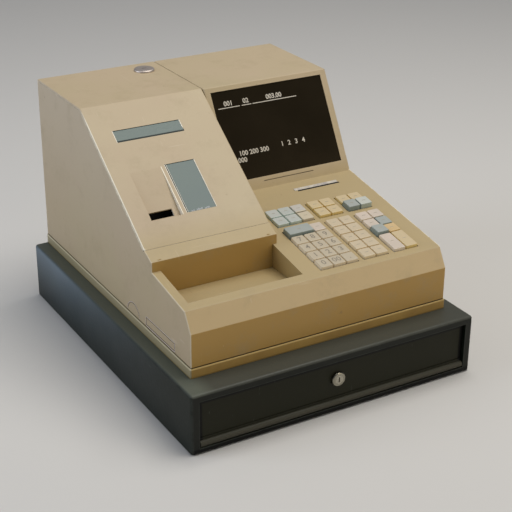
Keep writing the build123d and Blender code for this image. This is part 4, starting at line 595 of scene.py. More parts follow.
# The chute's right rim: its place along X, half its width and its ends' heights.
CHUTE_RIM = -0.1151
CHUTE_RIM_HALF = (0.0008, 0.0004)
CHUTE_LOW_END = (0.2204, 0.2214)
CHUTE_HIGH_END = (0.2637, 0.2627)
housing_foot = extent("main_housing", "Z")[0]
housing_side = extent("main_housing", "X")[1]
outer_wall = housing_side - WALL_DEPTH


def beige_coat(tree, place, age, painted_front_light, level, inner):
    """The moulding's colour, handled on the deck, with painted light: lighter up the left side, lighter on
    forward slopes, warm yellow in front.
    """
    height = axis(tree, place, "Z")
    base = blend(tree, age["Broad"], BEIGE, BEIGE_PINK)
    left_side = remap(tree, faces(tree, "X"), *SIDE_FACING_LEFT)
    # Painted light: lighter up the left side.
    pale_part = both(tree, left_side, remap(tree, height, *LIT_LEFT_HEIGHTS))
    paler = blend(tree, pale_part, base, BEIGE_LIT_LEFT)
    low_part = both(tree, remap(tree, height, *HANDLED_HEIGHTS), level)
    handled = blend(tree, low_part, paler, BEIGE_HANDLED)
    # Painted light on slopes turned forward.
    slope = both(tree, remap(tree, faces(tree, "Y"), *SLOPE_FACING_FRONT), painted_front_light)
    lightened = blend(tree, slope, handled, BEIGE_LIT_SLOPE)
    # Painted light: warm yellow on faces turned to the front.
    front = remap(tree, faces(tree, "Y"), *WALL_FACING_FRONT, 0.0, painted_front_light)
    warm_front = blend(tree, front, lightened, BEIGE_WARM_LIT_FRONT)
    off_middle = size_of(tree, axis(tree, place, "X"))
    inwards = remap(tree, off_middle, outer_wall, outer_wall - INNER_BLUR)
    return blend(tree, both(tree, left_side, inwards), warm_front, inner)


def beige_shade_and_soil(tree, place, age, coat, recess_shade_amount, seam_shade_amount):
    """Painted shade in recesses and seams, darker along the foot line, then grime, scuffs and nicks."""
    # Painted shade in deep recesses and in seams.
    deep = overlay(tree, recess_shade, coat, BEIGE_SHADE, reach=0.05, amount=recess_shade_amount)
    seams = overlay(tree, recess_shade, deep, BEIGE_SEAM, reach=0.0022, amount=seam_shade_amount)
    # Darker along the foot.
    above_foot = (housing_foot + rise for rise in FOOT_DARKENING_ABOVE)
    foot = remap(tree, axis(tree, place, "Z"), *above_foot, 0.0, HOUSING_FOOT_DARKENING)
    footed = blend(tree, foot, seams, BEIGE_SEAM)
    clouds = noise(tree, place, 26.0, detail=6.0, roughness=0.72)
    grimed = blend(tree, remap(tree, clouds, *GRIME_CLOUDS, 0.0, GRIME_AMOUNT), footed, BEIGE_GRIME)
    scuffed = overlay(tree, hairline_scratches, grimed, BEIGE_EDGE, density=0.1)
    return blend(tree, both(tree, age["Specks"], NICK_AMOUNT), scuffed, BEIGE_NICK)


def corner_wear_and_highlight(tree, place, rim_wear, crown_highlight):
    """Pale corners: broken lines, partly wear and partly painted highlight, and a painted highlight along the
    crown of the slope's left edge.
    """
    along = axis(tree, place, "Y")
    off_middle = size_of(tree, axis(tree, place, "X"))
    outwards = remap(tree, off_middle, outer_wall - CORNER_BLUR, outer_wall)
    forward = remap(tree, along, *NOSE, 0.0, NOSE_WEAR)
    outer = remap(tree, either(tree, outwards, forward), 0, 1, rim_wear, 1.0)
    before_shoulder = remap(tree, along, *SHOULDER)
    high = remap(tree, axis(tree, place, "Z"), *WORN_HEIGHTS)
    open_to_hands = remap(tree, before_shoulder, 0, 1, BEHIND_SHOULDER_WEAR, 1.0)
    exposed = both(tree, both(tree, outer, high), open_to_hands)
    # Pale edge lines: partly wear, partly painted highlight.
    edges = use(tree, edge_wear_and_highlight, reach=0.0024, amount=1.0, start=0.24)["Mask"]
    sidelong = faces(tree, "X")
    # Painted highlight along the crown of the slope's left edge.
    turning = remap(tree, sidelong, *CORNER_TURNING_LEFT, 0.0, crown_highlight)
    crown = both(tree, turning, remap(tree, sidelong, *CORNER_SHORT_OF_SIDE))
    highlit_crown = both(tree, crown, both(tree, outwards, before_shoulder))
    return either(tree, both(tree, edges, exposed), highlit_crown)


def chute_rim_highlight(tree, place, level):
    """A painted highlight: a pale line along the right rim of the receipt chute."""
    height = axis(tree, place, "Z")
    off_rim = size_of(tree, compute(tree, "SUBTRACT", axis(tree, place, "X"), CHUTE_RIM))
    above = both(tree, remap(tree, height, *CHUTE_LOW_END), level)
    between = both(tree, above, remap(tree, height, *CHUTE_HIGH_END))
    return both(tree, between, remap(tree, off_rim, *CHUTE_RIM_HALF))


def aged_beige(
    name, inner, painted_front_light, rim_wear, crown_highlight, level_from=0.6, recess_shade_amount=0.75, seam_shade_amount=0.9, chute=False
):
    """A beige moulding with its painted light and shade, grime, nicks and pale corners of wear and painted
    highlight.
    """
    material, tree, shader = new_material(name, roughness=0.5)
    place = object_place(tree)
    age = use(tree, aged_patches, scale=6.0, fine=90.0)
    level = remap(tree, faces(tree, "Z"), level_from, level_from + LEVEL_SPREAD)
    coat = beige_coat(tree, place, age, painted_front_light, level, inner)
    darkened = beige_shade_and_soil(tree, place, age, coat, recess_shade_amount, seam_shade_amount)
    pale_edges = corner_wear_and_highlight(tree, place, rim_wear, crown_highlight)
    if chute:
        pale_edges = either(tree, pale_edges, chute_rim_highlight(tree, place, level))
    link(tree, blend(tree, pale_edges, darkened, BEIGE_EDGE), shader.inputs["Base Color"])
    polish(tree, shader, age, smooth=0.44, rough=0.56)
    texture(tree, shader, strength=0.2, grain=1300.0, wave=30.0, waviness=0.4)
    return material


housing_beige = aged_beige("aged beige housing", TRAY_WALL, painted_front_light=1.0, rim_wear=0.06, crown_highlight=0.35)
hood_beige = aged_beige(
    "aged beige hood", BEIGE, painted_front_light=0.1, rim_wear=0.03, crown_highlight=0.0, level_from=0.3
)
cover_beige = aged_beige(
    "aged beige cover", LIT_CHUTE_WALL, painted_front_light=0.3, rim_wear=0.0, crown_highlight=1.0,
    recess_shade_amount=0.1, seam_shade_amount=0.1, chute=True,
)
dress(housing_beige, "main_housing")
dress(hood_beige, "display_hood")
dress(cover_beige, "printer_cover")

# ---------------------------------------------------------------- display window
# Smoked acrylic plate, bonded behind the lip of the hood. Three pale rules, plain numbers over
# them and a row of marks lower down are screened on its face.
SMOKED = (0.0105, 0.0078, 0.0040)
SMOKED_HAZE = (0.0120, 0.0090, 0.0048)
SMOKED_TINT = (1.0, 0.78, 0.5)
SCREEN_INK = (0.62, 0.58, 0.50)
SCREEN_INK_WORN = (0.50, 0.46, 0.38)
PRINT_THICKNESS = 0.00012
HOOD_TILT = 60.6
WINDOW_SINK = -0.0012
RULES = ((0.0235, 0.033, "001"), (0.0505, 0.015, "02"), (0.0948, 0.070, "003.00"))
RULE_RUN = 0.1165
RULE_HEIGHT = 0.0011
MARK_RUN = 0.0545
MARKS = ((0.0900, "1"), (0.1010, "2"), (0.1125, "3"), (0.1240, "4"))
LOWER_LINES = ((0.0445, 0.0520, "100 200 300"), (0.0245, 0.0430, "000"))
NUMBER_SIZE = 0.0092
NUMBER_ABOVE_RULE = NUMBER_SIZE * 0.6
BOLDNESS = 0.00022
CURVE_STEPS = 3
HAZE_ROUGHNESS = 0.1


def sheet_plastic(name, colour, haze, roughness, specular=0.5, tint=(1.0, 1.0, 1.0)):
    """Polished or printed sheet with a faint haze on it."""
    material, tree, shader = new_material(name, roughness=roughness, specular=specular)
    feed(tree, tint, shader.inputs["Specular Tint"])
    age = use(tree, aged_patches, scale=12.0, fine=600.0)
    link(tree, blend(tree, age["Broad"], colour, haze), shader.inputs["Base Color"])
    polish(tree, shader, age, roughness, roughness + HAZE_ROUGHNESS)
    return material


class Slope:
    """A sloping face. Places on it are given in metres: x, run up the slope, rise off it."""

    def __init__(self, tilt, foot, run_at_foot=0.0):
        self.climb = Vector((0, math.cos(math.radians(tilt)), math.sin(math.radians(tilt))))
        self.normal = Vector((0, -self.climb.z, self.climb.y))
        self.foot = Vector((0, foot.y, foot.z)) - self.climb * run_at_foot

    def matrix(self, x, run, rise=0.0):
        """A place whose X is to the right, Y up the slope and Z out of it."""
        axes = Matrix((Vector((1, 0, 0)), self.climb, self.normal)).transposed().to_4x4()
        place = self.foot + Vector((x, 0, 0)) + self.climb * run + self.normal * rise
        return Matrix.Translation(place) @ axes

    def measure(self, point):
        """x, run and rise of a point."""
        reach = point - self.foot
        return point.x, reach.dot(self.climb), reach.dot(self.normal)


def foot_of_slope(node, tilt):
    """The lowest point of a node's sloping face."""
    normal = Vector((0, -math.sin(math.radians(tilt)), math.cos(math.radians(tilt))))
    return max((v.co for v in nodes[node].data.vertices), key=lambda p: (round(p.dot(normal), 5), -p.z))


def printed(name, words, size, place, boldness=0.0):
    """Characters as a mesh of real but tiny thickness, centred on a place."""
    bpy.ops.object.select_all(action="DESELECT")
    bpy.ops.object.text_add(location=(0, 0, 0))
    piece = bpy.context.object
    piece.data.body = words
    piece.data.size = size
    piece.data.align_x = "CENTER"
    piece.data.align_y = "CENTER"
    piece.data.extrude = PRINT_THICKNESS / 2
    piece.data.offset = boldness
    piece.data.resolution_u = CURVE_STEPS
    bpy.ops.object.convert(target="MESH")
    piece = bpy.context.object
    piece.name = name
    piece.data.transform(place)
    return piece


def plate(name, width, length, thickness, place, corner=0.0):
    """A thin plate with softened corners, its lower face centred on a place."""
    bpy.ops.object.select_all(action="DESELECT")
    bpy.ops.mesh.primitive_cube_add(size=1, location=(0, 0, thickness / 2), scale=(width, length, thickness))
    piece = bpy.context.object
    piece.name = name
    bpy.ops.object.transform_apply(location=True, rotation=True, scale=True)
    if corner:
        bpy.ops.object.mode_set(mode="EDIT")
        bpy.ops.mesh.select_all(action="SELECT")
        bpy.ops.mesh.bevel(offset=corner, segments=2, affect="EDGES")
        bpy.ops.object.mode_set(mode="OBJECT")
    piece.data.transform(place)
    return piece


def join(name, pieces):
    """Makes one piece of several."""
    bpy.ops.object.select_all(action="DESELECT")
    for piece in pieces:
        piece.select_set(True)
    bpy.context.view_layer.objects.active = pieces[0]
    if len(pieces) > 1:
        bpy.ops.object.join()
    pieces[0].name = name
    return pieces[0]


def settle(piece, material, body):
    """Gives a finished piece its material and lets it ride with its body."""
    piece.data.materials.clear()
    piece.data.materials.append(material)
    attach(piece, body)


hood_foot = foot_of_slope("display_hood", HOOD_TILT)
hood_face = Slope(HOOD_TILT, hood_foot)
smoked_acrylic = sheet_plastic("smoked acrylic", SMOKED, SMOKED_HAZE, 0.14, specular=0.2, tint=SMOKED_TINT)
dress(smoked_acrylic, "display_window")
prints = []
for x, width, number in RULES:
    on_face = hood_face.matrix(x, RULE_RUN, WINDOW_SINK)
    prints.append(plate("rule", width, RULE_HEIGHT, PRINT_THICKNESS, on_face))
    above = hood_face.matrix(x, RULE_RUN + NUMBER_ABOVE_RULE, WINDOW_SINK)
    prints.append(printed("number", number, NUMBER_SIZE, above, BOLDNESS))
for x, mark in MARKS:
    on_face = hood_face.matrix(x, MARK_RUN, WINDOW_SINK)
    prints.append(printed("mark", mark, NUMBER_SIZE, on_face, BOLDNESS))
for x, run, number in LOWER_LINES:
    on_face = hood_face.matrix(x, run, WINDOW_SINK)
    prints.append(printed("line", number, NUMBER_SIZE, on_face, BOLDNESS))
screen_ink = sheet_plastic("screen ink", SCREEN_INK, SCREEN_INK_WORN, 0.5)
settle(join("window_print", prints), screen_ink, "register")

# ---------------------------------------------------------------- knock-outs
# Two knock-outs are outlined low on the left side by fine grooves. Beside each groove lies a pale line of
# fine strips, a painted highlight.
GROOVE_HIGHLIGHT = (0.74, 0.66, 0.64)
GROOVE_HIGHLIGHT_DULL = (0.58, 0.51, 0.50)
GROOVE_LINE_WIDTH = 0.0008
GROOVE_LINE_DEPTH = 0.0003
PANEL_CORNERS = ((-0.1645, 0.0964), (-0.1645, 0.1086), (-0.0855, 0.1086), (-0.0855, 0.0964))
PLUG_CENTRE = (-0.049, 0.093)
PLUG_RADIUS = 0.0185
PLUG_SWEEP = math.radians(79)
PLUG_STEPS = 12


def traced(name, points):
    """Fine strips on the left wall along a line of (y, z) points."""
    strips = []
    outwards = Vector((-1, 0, 0))
    for (y, z), (next_y, next_z) in zip(points, points[1:]):
        along = Vector((0, next_y - y, next_z - z))
        axes = Matrix((along.normalized(), outwards.cross(along).normalized(), outwards)).transposed()
        middle = Vector((GROOVE_LINE_DEPTH / 2 - housing_side, (y + next_y) / 2, (z + next_z) / 2))
        place = Matrix.Translation(middle) @ axes.to_4x4()
        strips.append(plate("strip", along.length + GROOVE_LINE_WIDTH, GROOVE_LINE_WIDTH, GROOVE_LINE_DEPTH, place))
    return join(name, strips)


plug_y, plug_z = PLUG_CENTRE
angles = [PLUG_SWEEP * (2 * step / PLUG_STEPS - 1) for step in range(PLUG_STEPS + 1)]
arch = [(plug_y + PLUG_RADIUS * math.sin(a), plug_z + PLUG_RADIUS * math.cos(a)) for a in angles]
# Painted highlight beside the grooves.
groove_highlight = moulding("groove highlight", GROOVE_HIGHLIGHT, GROOVE_HIGHLIGHT_DULL, GROOVE_HIGHLIGHT, wear=0.1, roughness=0.9, strength=0.1)
for name, points in (("panel_outline", [*PANEL_CORNERS, PANEL_CORNERS[0]]), ("plug_outline", arch)):
    settle(traced(name, points), groove_highlight, "register")

# ---------------------------------------------------------------- index strip
# A pale plate let into the deck behind the keys and bonded there. In front of it lies the narrow slot that
# takes the edge of the index card, drawn as a dark plate of painted shade.
STRIP = (0.34, 0.32, 0.32)
STRIP_PATCH = (0.40, 0.375, 0.37)
SLOT_SHADOW = (0.010, 0.010, 0.011)
SLOT_SHADOW_PATCH = (0.016, 0.015, 0.015)
STRIP_SIZE = (0.069, 0.0052, 0.0006)
STRIP_PLACE = (0.1155, 0.1932)
STRIP_CORNER = 0.0002
SLOT_SIZE = (0.066, 0.0022, 0.0003)
SLOT_PLACE = (0.1180, 0.1892)
SLOT_CORNER = 0.0001
DECK_TILT = 9.35
DECK_LENGTH = 0.2127
deck = Slope(DECK_TILT, hood_foot, run_at_foot=DECK_LENGTH)
index_plate = moulding("index plate", STRIP, STRIP_PATCH, BEIGE_EDGE, wear=0.5, roughness=0.35, strength=0.05)
strip = plate("index_strip", *STRIP_SIZE, deck.matrix(*STRIP_PLACE), STRIP_CORNER)
settle(strip, index_plate, "register")
# Painted shade: a dark plate for the slot.
slot_shadow = sheet_plastic("slot shadow", SLOT_SHADOW, SLOT_SHADOW_PATCH, 0.6, specular=0.2)
card_slot_shadow = plate("index_slot_shadow", *SLOT_SIZE, deck.matrix(*SLOT_PLACE), SLOT_CORNER)
settle(card_slot_shadow, slot_shadow, "register")

# ---------------------------------------------------------------- cover windows
# Blue-grey tinted sheet whose raised fields fill the two openings of the printer cover. Pale strips along
# their sawn edges are a painted highlight, and dark strips beside them are painted shade from the cover.
TINTED = (0.130, 0.178, 0.164)
TINTED_HAZE = (0.140, 0.186, 0.180)
SHEET_HIGHLIGHT = (0.84, 0.81, 0.70)
SHEET_HIGHLIGHT_DULL = (0.62, 0.58, 0.48)
SHEET_SHADE = (0.035, 0.045, 0.045)
SHEET_SHADE_DULL = (0.06, 0.07, 0.065)
TOWER_TILT = 34.95
COVER_START = 0.0003
FIELD_SINK = -0.0006
LINE = 0.0009
LINE_THICKNESS = 0.0005
LINE_CORNER = 0.0001
# The share of the upper field's right edge that is bright. Then, in widths of a line: the
# second line by the journal window, and how far the shades reach.
BRIGHT_SHARE = 0.7
SECOND_LINE = (2.4, 3)
JOURNAL_SHADE = 2.2
UPPER_SHADE = 2.8
UPPER_FIELD = ((-0.157, -0.061), (0.160, 0.179))
JOURNAL_FIELD = ((-0.110, -0.067), (0.0394, 0.115))
tower_face = Slope(TOWER_TILT, foot_of_slope("printer_cover", TOWER_TILT), run_at_foot=COVER_START)
dress(sheet_plastic("tinted acrylic", TINTED, TINTED_HAZE, 0.24, specular=0.22), "cover_windows")


def edge_lines(name, lines, material):
    """Thin strips along a window's edges, each given by its x range and its run range."""
    strips = []
    for (left, right), (low, high) in lines:
        place = tower_face.matrix((left + right) / 2, (low + high) / 2, FIELD_SINK)
        strips.append(plate("line", right - left, high - low, LINE_THICKNESS, place, LINE_CORNER))
    settle(join(name, strips), material, "printer_lid")


(upper_left, upper_right), (upper_low, upper_high) = UPPER_FIELD
(journal_left, journal_right), (journal_low, journal_high) = JOURNAL_FIELD
bright_from = upper_high - BRIGHT_SHARE * (upper_high - upper_low)
second_from, second_to = (journal_left + widths * LINE for widths in SECOND_LINE)
# Painted highlight along the sawn edges.
edge_lines(
    "window_edge_highlights",
    (
        ((upper_left, upper_left + LINE), (upper_low, upper_high)),
        ((upper_right - LINE, upper_right), (bright_from, upper_high)),
        ((journal_right - LINE, journal_right), (journal_low, journal_high)),
        ((journal_left, journal_left + LINE), (journal_low, journal_high)),
        ((second_from, second_to), (journal_low, journal_high)),
    ),
    moulding("sheet highlight", SHEET_HIGHLIGHT, SHEET_HIGHLIGHT_DULL, SHEET_HIGHLIGHT, wear=0.2, roughness=0.3, strength=0.02),
)
edge_lines(
    "window_shades",
    (
        ((upper_left + LINE, upper_right), (upper_low, upper_low + UPPER_SHADE * LINE)),
        ((upper_left + LINE, upper_right - LINE), (upper_high - LINE / 2, upper_high)),
        ((journal_left + LINE, journal_left + JOURNAL_SHADE * LINE), (journal_low, journal_high)),
        ((journal_left, journal_right), (journal_high - LINE / 2, journal_high)),
    ),
    sheet_plastic("sheet shade", SHEET_SHADE, SHEET_SHADE_DULL, 0.6, specular=0.1),
)

# ---------------------------------------------------------------- torn paper
# Slivers of thin journal paper, torn off by hand and stuck at the lower edge of the journal
# window. Each is flat, with a ragged upper edge.
TORN_PAPER = (0.44, 0.47, 0.49)
TORN_PAPER_GREY = (0.34, 0.38, 0.40)
SLIVERS = ((-0.1005, 0.004, 0.0020), (-0.0915, 0.009, 0.0030), (-0.0800, 0.007, 0.0026))
SLIVER_THICKNESS = 0.0001
SLIVER_STEPS = 8
SLIVER_MARGIN = 0.0003
SLIVER_RISE = 0.0002
RAGGEDNESS = 0.8
FIRST_SEED = 3


def torn_sliver(name, width, depth, seed, place):
    """A sliver of thin paper, torn along its upper edge."""
    bpy.ops.object.select_all(action="DESELECT")
    bpy.ops.mesh.primitive_grid_add(x_subdivisions=SLIVER_STEPS, y_subdivisions=1, size=1, location=(0, 0, 0))
    piece = bpy.context.object
    piece.name = name
    piece.scale = (width, depth, 1)
    bpy.ops.object.transform_apply(location=True, rotation=True, scale=True)
    for vertex in piece.data.vertices:
        vertex.select = vertex.co.y > 0
    bpy.ops.object.mode_set(mode="EDIT")
    bpy.ops.transform.vertex_random(offset=depth * RAGGEDNESS, seed=seed)
    bpy.ops.object.mode_set(mode="OBJECT")
    for vertex in piece.data.vertices:
        vertex.co.z = 0
    solid = piece.modifiers.new("thickness", "SOLIDIFY")
    solid.thickness = SLIVER_THICKNESS
    bpy.ops.object.modifier_apply(modifier="thickness")
    piece.data.transform(place)
    return piece


slivers = []
for seed, (x, width, depth) in enumerate(SLIVERS, FIRST_SEED):
    place = tower_face.matrix(x, journal_low + depth / 2 + SLIVER_MARGIN, FIELD_SINK + SLIVER_RISE)
    slivers.append(torn_sliver("sliver", width, depth, seed, place))
thin_paper = matt("torn paper", TORN_PAPER, TORN_PAPER_GREY)
settle(join("torn_paper", slivers), thin_paper, "printer_lid")

# ---------------------------------------------------------------- printer mechanism
# Type drum in cast alloy, an ink-soaked roller, a rubber feed roller, a moulded take-up spool
# and two paper rolls wound on cardboard cores. All turn on axles in the plates of the frame.
ALLOY = (0.42, 0.42, 0.41)
ALLOY_DULL = (0.2, 0.2, 0.2)
INK_FELT = (0.03, 0.012, 0.05)
INK_FELT_DUST = (0.05, 0.03, 0.07)
SPOOL = (0.45, 0.45, 0.42)
SPOOL_PATCH = (0.38, 0.38, 0.35)
SPOOL_EDGE = (0.5, 0.5, 0.47)
PAPER = (0.74, 0.72, 0.66)
PAPER_SHADE = (0.52, 0.49, 0.42)
CORE = (0.30, 0.20, 0.10)
CORE_RADIUS = 0.0095
RADIANS_PER_METRE = 9000.0
RING_CONTRAST = 0.45
roll_y, roll_z = (sum(extent("receipt_roll", name)) / 2 for name in "YZ")


def wound_paper(name):
    """Wound paper: fine rings on the ends around a cardboard core."""
    material, tree, shader = new_material(name, roughness=0.8, specular=0.2)
    mapping = tree.nodes.new("ShaderNodeMapping")
    mapping.vector_type = "POINT"
    mapping.inputs["Location"].default_value = (0, -roll_y, -roll_z)
    link(tree, object_place(tree), mapping.inputs["Vector"])
    across = compute(tree, "POWER", axis(tree, mapping.outputs["Vector"], "Y"), 2.0)
    upwards = compute(tree, "POWER", axis(tree, mapping.outputs["Vector"], "Z"), 2.0)
    radius = compute(tree, "SQRT", compute(tree, "ADD", across, upwards))
    rings = compute(tree, "SINE", compute(tree, "MULTIPLY", radius, RADIANS_PER_METRE))
    layers = blend(tree, remap(tree, rings, -1, 1, 0.0, RING_CONTRAST), PAPER, PAPER_SHADE)
    core = compute(tree, "LESS_THAN", radius, CORE_RADIUS)
    link(tree, blend(tree, core, layers, CORE), shader.inputs["Base Color"])
    return material


dress(plated("type alloy", ALLOY, ALLOY_DULL, smooth=0.35, rough=0.5), "print_drum")
dress(matt("ink felt", INK_FELT, INK_FELT_DUST), "ink_roller")
dress(black_rubber, "feed_roller")
dress(wound_paper("wound paper"), "receipt_roll", "journal_roll")
dress(moulding("grey moulding", SPOOL, SPOOL_PATCH, SPOOL_EDGE, wear=0.3, roughness=0.5), "take_up_spool")

# ---------------------------------------------------------------- mains transformer
# A stack of iron sheets with the winding through it, dipped in dark varnish. It stands on the
# floor of the pan.
IRON = (0.09, 0.085, 0.08)
IRON_PATCH = (0.13, 0.12, 0.10)
IRON_EDGE = (0.2, 0.19, 0.17)
dress(moulding("varnished iron", IRON, IRON_PATCH, IRON_EDGE, wear=0.5, roughness=0.4), "power_transformer")

# ---------------------------------------------------------------- keys
# Double-shot caps, slightly glossy and smoothed by use on top, in a guide frame. The digit keys carry plain
# numbers and the others short plain bars. Skirts and frame are painted light to lift the shade in the gaps,
# and the caps' pale edges are partly wear and partly painted highlight.
KEY_PITCH = 0.019
KEY_GROUPS = ((0.0387, 3), (0.0935, 2), (0.1395, 2))
KEY_ROWS = ((0.059, 5), (0.136, 2))
KEY_ROUNDING = 0.0009
KEY_EDGE_LIFT = 1.3
BEVEL_RAYS = 6
SKIRT_TURN = (0.75, 0.35)
DIGIT_KEYS = (*(f"key_{digit}" for digit in range(10)), "key_00", "key_point")
DIGITS = (*"0123456789", "00", ".")
DIGIT_SIZE = 0.0125
DIGIT_BOLDNESS = 0.0001
DIGIT_INK = (0.20, 0.17, 0.13)
DIGIT_INK_WORN = (0.28, 0.245, 0.19)
BAR_SIZE = (0.0052, 0.0008)
BAR_INK = (0.33, 0.30, 0.24)
BAR_INK_WORN = (0.42, 0.38, 0.30)
# Painted light: the guide frame is made light to lift the shade in the gaps.
LIT_KEY_FRAME = (0.84, 0.72, 0.48)
LIT_KEY_FRAME_PATCH = (0.78, 0.66, 0.42)
PALE_COLUMN = 0.0482
PALE_ROW = -0.0555
PALE_CREAM = (0.57, 0.50, 0.37)
PALE_BLUE = (0.52, 0.50, 0.455)
# Each finish: its slot, the colours of the top, its patches and its skirts (painted light against the shade
# in the gaps), and its nodes.
KEY_FINISHES = {
    "cream": (
        "key_cream", (0.55, 0.46, 0.32), (0.57, 0.48, 0.34), (0.825, 0.6875, 0.45), ("cream_keys",)
    ),
    "number": (
        "key_cream", (0.50, 0.43, 0.315), (0.48, 0.42, 0.31), (0.80, 0.6875, 0.50), DIGIT_KEYS
    ),
    "light blue": (
        "key_light_blue", (0.45, 0.49, 0.46), (0.50, 0.51, 0.48), (0.60, 0.7125, 0.65), ("department_keys",)
    ),
    "slate": (
        "key_slate", (0.33, 0.37, 0.34), (0.36, 0.38, 0.36), (0.25, 0.3125, 0.30),
        ("wide_key", "slate_key", "blue_function_keys"),
    ),
    "green": (
        "key_green", (0.50, 0.53, 0.48), (0.52, 0.53, 0.48), (0.45, 0.525, 0.4625), ("green_key",)
    ),
    "yellow": (
        "key_yellow", (0.58, 0.47, 0.28), (0.56, 0.45, 0.28), (0.80, 0.6125, 0.2375),
        ("yellow_keys", "total_key"),
    ),
    "white": (
        "key_white", (0.56, 0.49, 0.41), (0.60, 0.51, 0.43), (0.775, 0.675, 0.525),
        ("clear_key", "white_function_keys", "tender_key"),
    ),
    "orange": (
        "key_orange", (0.59, 0.42, 0.20), (0.61, 0.45, 0.24), (0.775, 0.55, 0.225), ("orange_key",)
    ),
}


def bleached_column(tree, colour):
    """The third column of the light blue keys, bleached to cream in front and grey behind."""
    place = object_place(tree)
    column = compute(tree, "GREATER_THAN", axis(tree, place, "X"), PALE_COLUMN)
    row = compute(tree, "GREATER_THAN", axis(tree, place, "Y"), PALE_ROW)
    return blend(tree, column, colour, blend(tree, row, PALE_CREAM, PALE_BLUE))


def key_finish(name, colour, patch, lit_skirt, bleached):
    """A key's plastic: smooth top, softened edges paled by wear and painted highlight, and skirts painted
    light against the shade in the gaps.
    """
    material, tree, shader = new_material(name, roughness=0.4)
    age = use(tree, aged_patches, scale=30.0, fine=400.0)
    top = blend(tree, age["Broad"], colour, patch)
    whole = blend(tree, remap(tree, faces(tree, "Z"), *SKIRT_TURN), top, lit_skirt)
    if bleached:
        whole = bleached_column(tree, whole)
    # Lighter edges: partly wear, partly painted highlight.
    lighter = tuple(KEY_EDGE_LIFT * channel for channel in colour)
    lightened = overlay(tree, edge_wear_and_highlight, whole, lighter, reach=0.0009, amount=0.6)
    link(tree, lightened, shader.inputs["Base Color"])
    polish(tree, shader, age, smooth=0.34, rough=0.46)
    rounded = tree.nodes.new("ShaderNodeBevel")
    rounded.samples = BEVEL_RAYS
    rounded.inputs["Radius"].default_value = KEY_ROUNDING
    link(tree, rounded.outputs["Normal"], shader.inputs["Normal"])
    return material


key_cells = [
    (x + (column - (columns - 1) / 2) * KEY_PITCH, run + (row - (rows - 1) / 2) * KEY_PITCH)
    for x, columns in KEY_GROUPS for column in range(columns)
    for run, rows in KEY_ROWS for row in range(rows)
]


def key_tops(node):
    """x, run and rise of the middle of each key top in a node."""
    points = [deck.measure(v.co) for v in nodes[node].data.vertices]
    xs, runs, rises = zip(*points)
    if not node.endswith("keys"):
        return [((min(xs) + max(xs)) / 2, (min(runs) + max(runs)) / 2, max(rises))]
    half = KEY_PITCH / 2
    tops = []
    for x, run in key_cells:
        near = [p[2] for p in points if abs(p[0] - x) < half and abs(p[1] - run) < half]
        if near:
            tops.append((x, run, max(near)))
    return tops


digit_on = dict(zip(DIGIT_KEYS, DIGITS))
digit_ink = sheet_plastic("digit ink", DIGIT_INK, DIGIT_INK_WORN, 0.5)
bar_ink = sheet_plastic("bar ink", BAR_INK, BAR_INK_WORN, 0.5)
for finish, (slot, colour, patch, lit_skirt, names) in KEY_FINISHES.items():
    dress(key_finish(f"{finish} key", colour, patch, lit_skirt, finish == "light blue"), *names)
    for name in names:
        marks = []
        for top in key_tops(name):
            if name in digit_on:
                marks.append(printed("mark", digit_on[name], DIGIT_SIZE, deck.matrix(*top), DIGIT_BOLDNESS))
            else:
                marks.append(plate("mark", *BAR_SIZE, PRINT_THICKNESS, deck.matrix(*top)))
        ink = digit_ink if name in digit_on else bar_ink
        settle(join(f"{name}_print", marks), ink, f"{name}_cap")
dress(moulding("guide moulding", LIT_KEY_FRAME, LIT_KEY_FRAME_PATCH, LIT_KEY_FRAME, wear=0.1, roughness=0.6), "keyboard_frame")

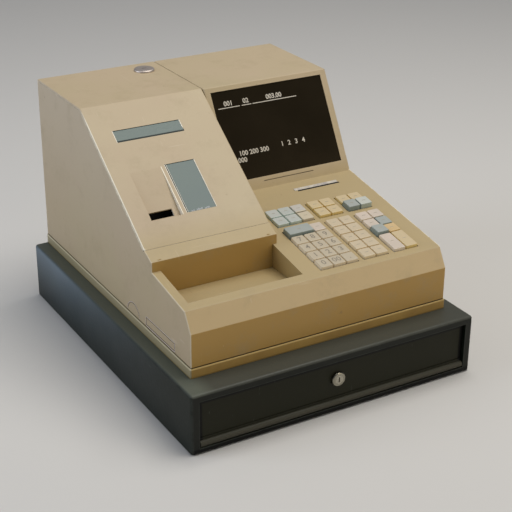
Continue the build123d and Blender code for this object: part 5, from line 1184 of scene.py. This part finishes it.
# ---------------------------------------------------------------- floor and light
# A pale seamless floor under a grey sky. A broad soft lamp hangs above, a cool one stands on
# the left and a warm one in front.
FLOOR_SIZE = 40.0
FLOOR_COLOUR = (0.62, 0.61, 0.59)
SKY_COLOUR = (0.84, 0.86, 0.90)
SKY_STRENGTH = 0.30
TARGET = Vector((0, 0, 0.15))
bpy.ops.object.select_all(action="DESELECT")
bpy.ops.mesh.primitive_plane_add(size=FLOOR_SIZE, location=(0, 0, 0))
floor = bpy.context.object
floor.name = "floor"
floor_material, floor_tree, floor_shader = new_material("pale floor", roughness=0.8, specular=0.2)
feed(floor_tree, FLOOR_COLOUR, floor_shader.inputs["Base Color"])
floor.data.materials.append(floor_material)

world = bpy.data.worlds.new("studio")
bpy.context.scene.world = world
world.use_nodes = True
sky = world.node_tree.nodes["Background"]
feed(world.node_tree, SKY_COLOUR, sky.inputs["Color"])
feed(world.node_tree, SKY_STRENGTH, sky.inputs["Strength"])


def soft_light(name, place, size, power, colour):
    """A square area lamp that points at the register."""
    bpy.ops.object.light_add(type="AREA", location=place)
    lamp = bpy.context.object
    lamp.name = name
    lamp.data.size = size
    lamp.data.energy = power
    lamp.data.color = colour
    lamp.rotation_euler = (TARGET - Vector(place)).to_track_quat("-Z", "Y").to_euler()


soft_light("top light", place=(0.6, -0.2, 2.3), size=1.6, power=38, colour=(1.0, 0.96, 0.90))
soft_light("left light", place=(-2.2, 0.6, 1.2), size=1.4, power=21, colour=(0.81, 0.88, 1.0))
soft_light("front light", place=(1.2, -2.0, 0.7), size=1.2, power=6.5, colour=(1.0, 0.84, 0.62))

# ---------------------------------------------------------------- camera
# A camera with a long lens, which stands to the left in front of the register and looks down
# at its left front corner.
CAMERA_PLACE = (-0.7762, -1.3710, 0.8494)
CAMERA_TURN = (90 - 25.022, 0.328, -30.214)
LENS = 90.19
SENSOR = 36
bpy.ops.object.camera_add(location=CAMERA_PLACE)
camera = bpy.context.object
camera.data.lens = LENS
camera.data.sensor_width = SENSOR
down, roll, yaw = (math.radians(angle) for angle in CAMERA_TURN)
camera.matrix_world = (
    Matrix.Translation(CAMERA_PLACE)
    @ Matrix.Rotation(yaw, 4, "Z")
    @ Matrix.Rotation(down, 4, "X")
    @ Matrix.Rotation(roll, 4, "Z")
)
bpy.context.scene.camera = camera
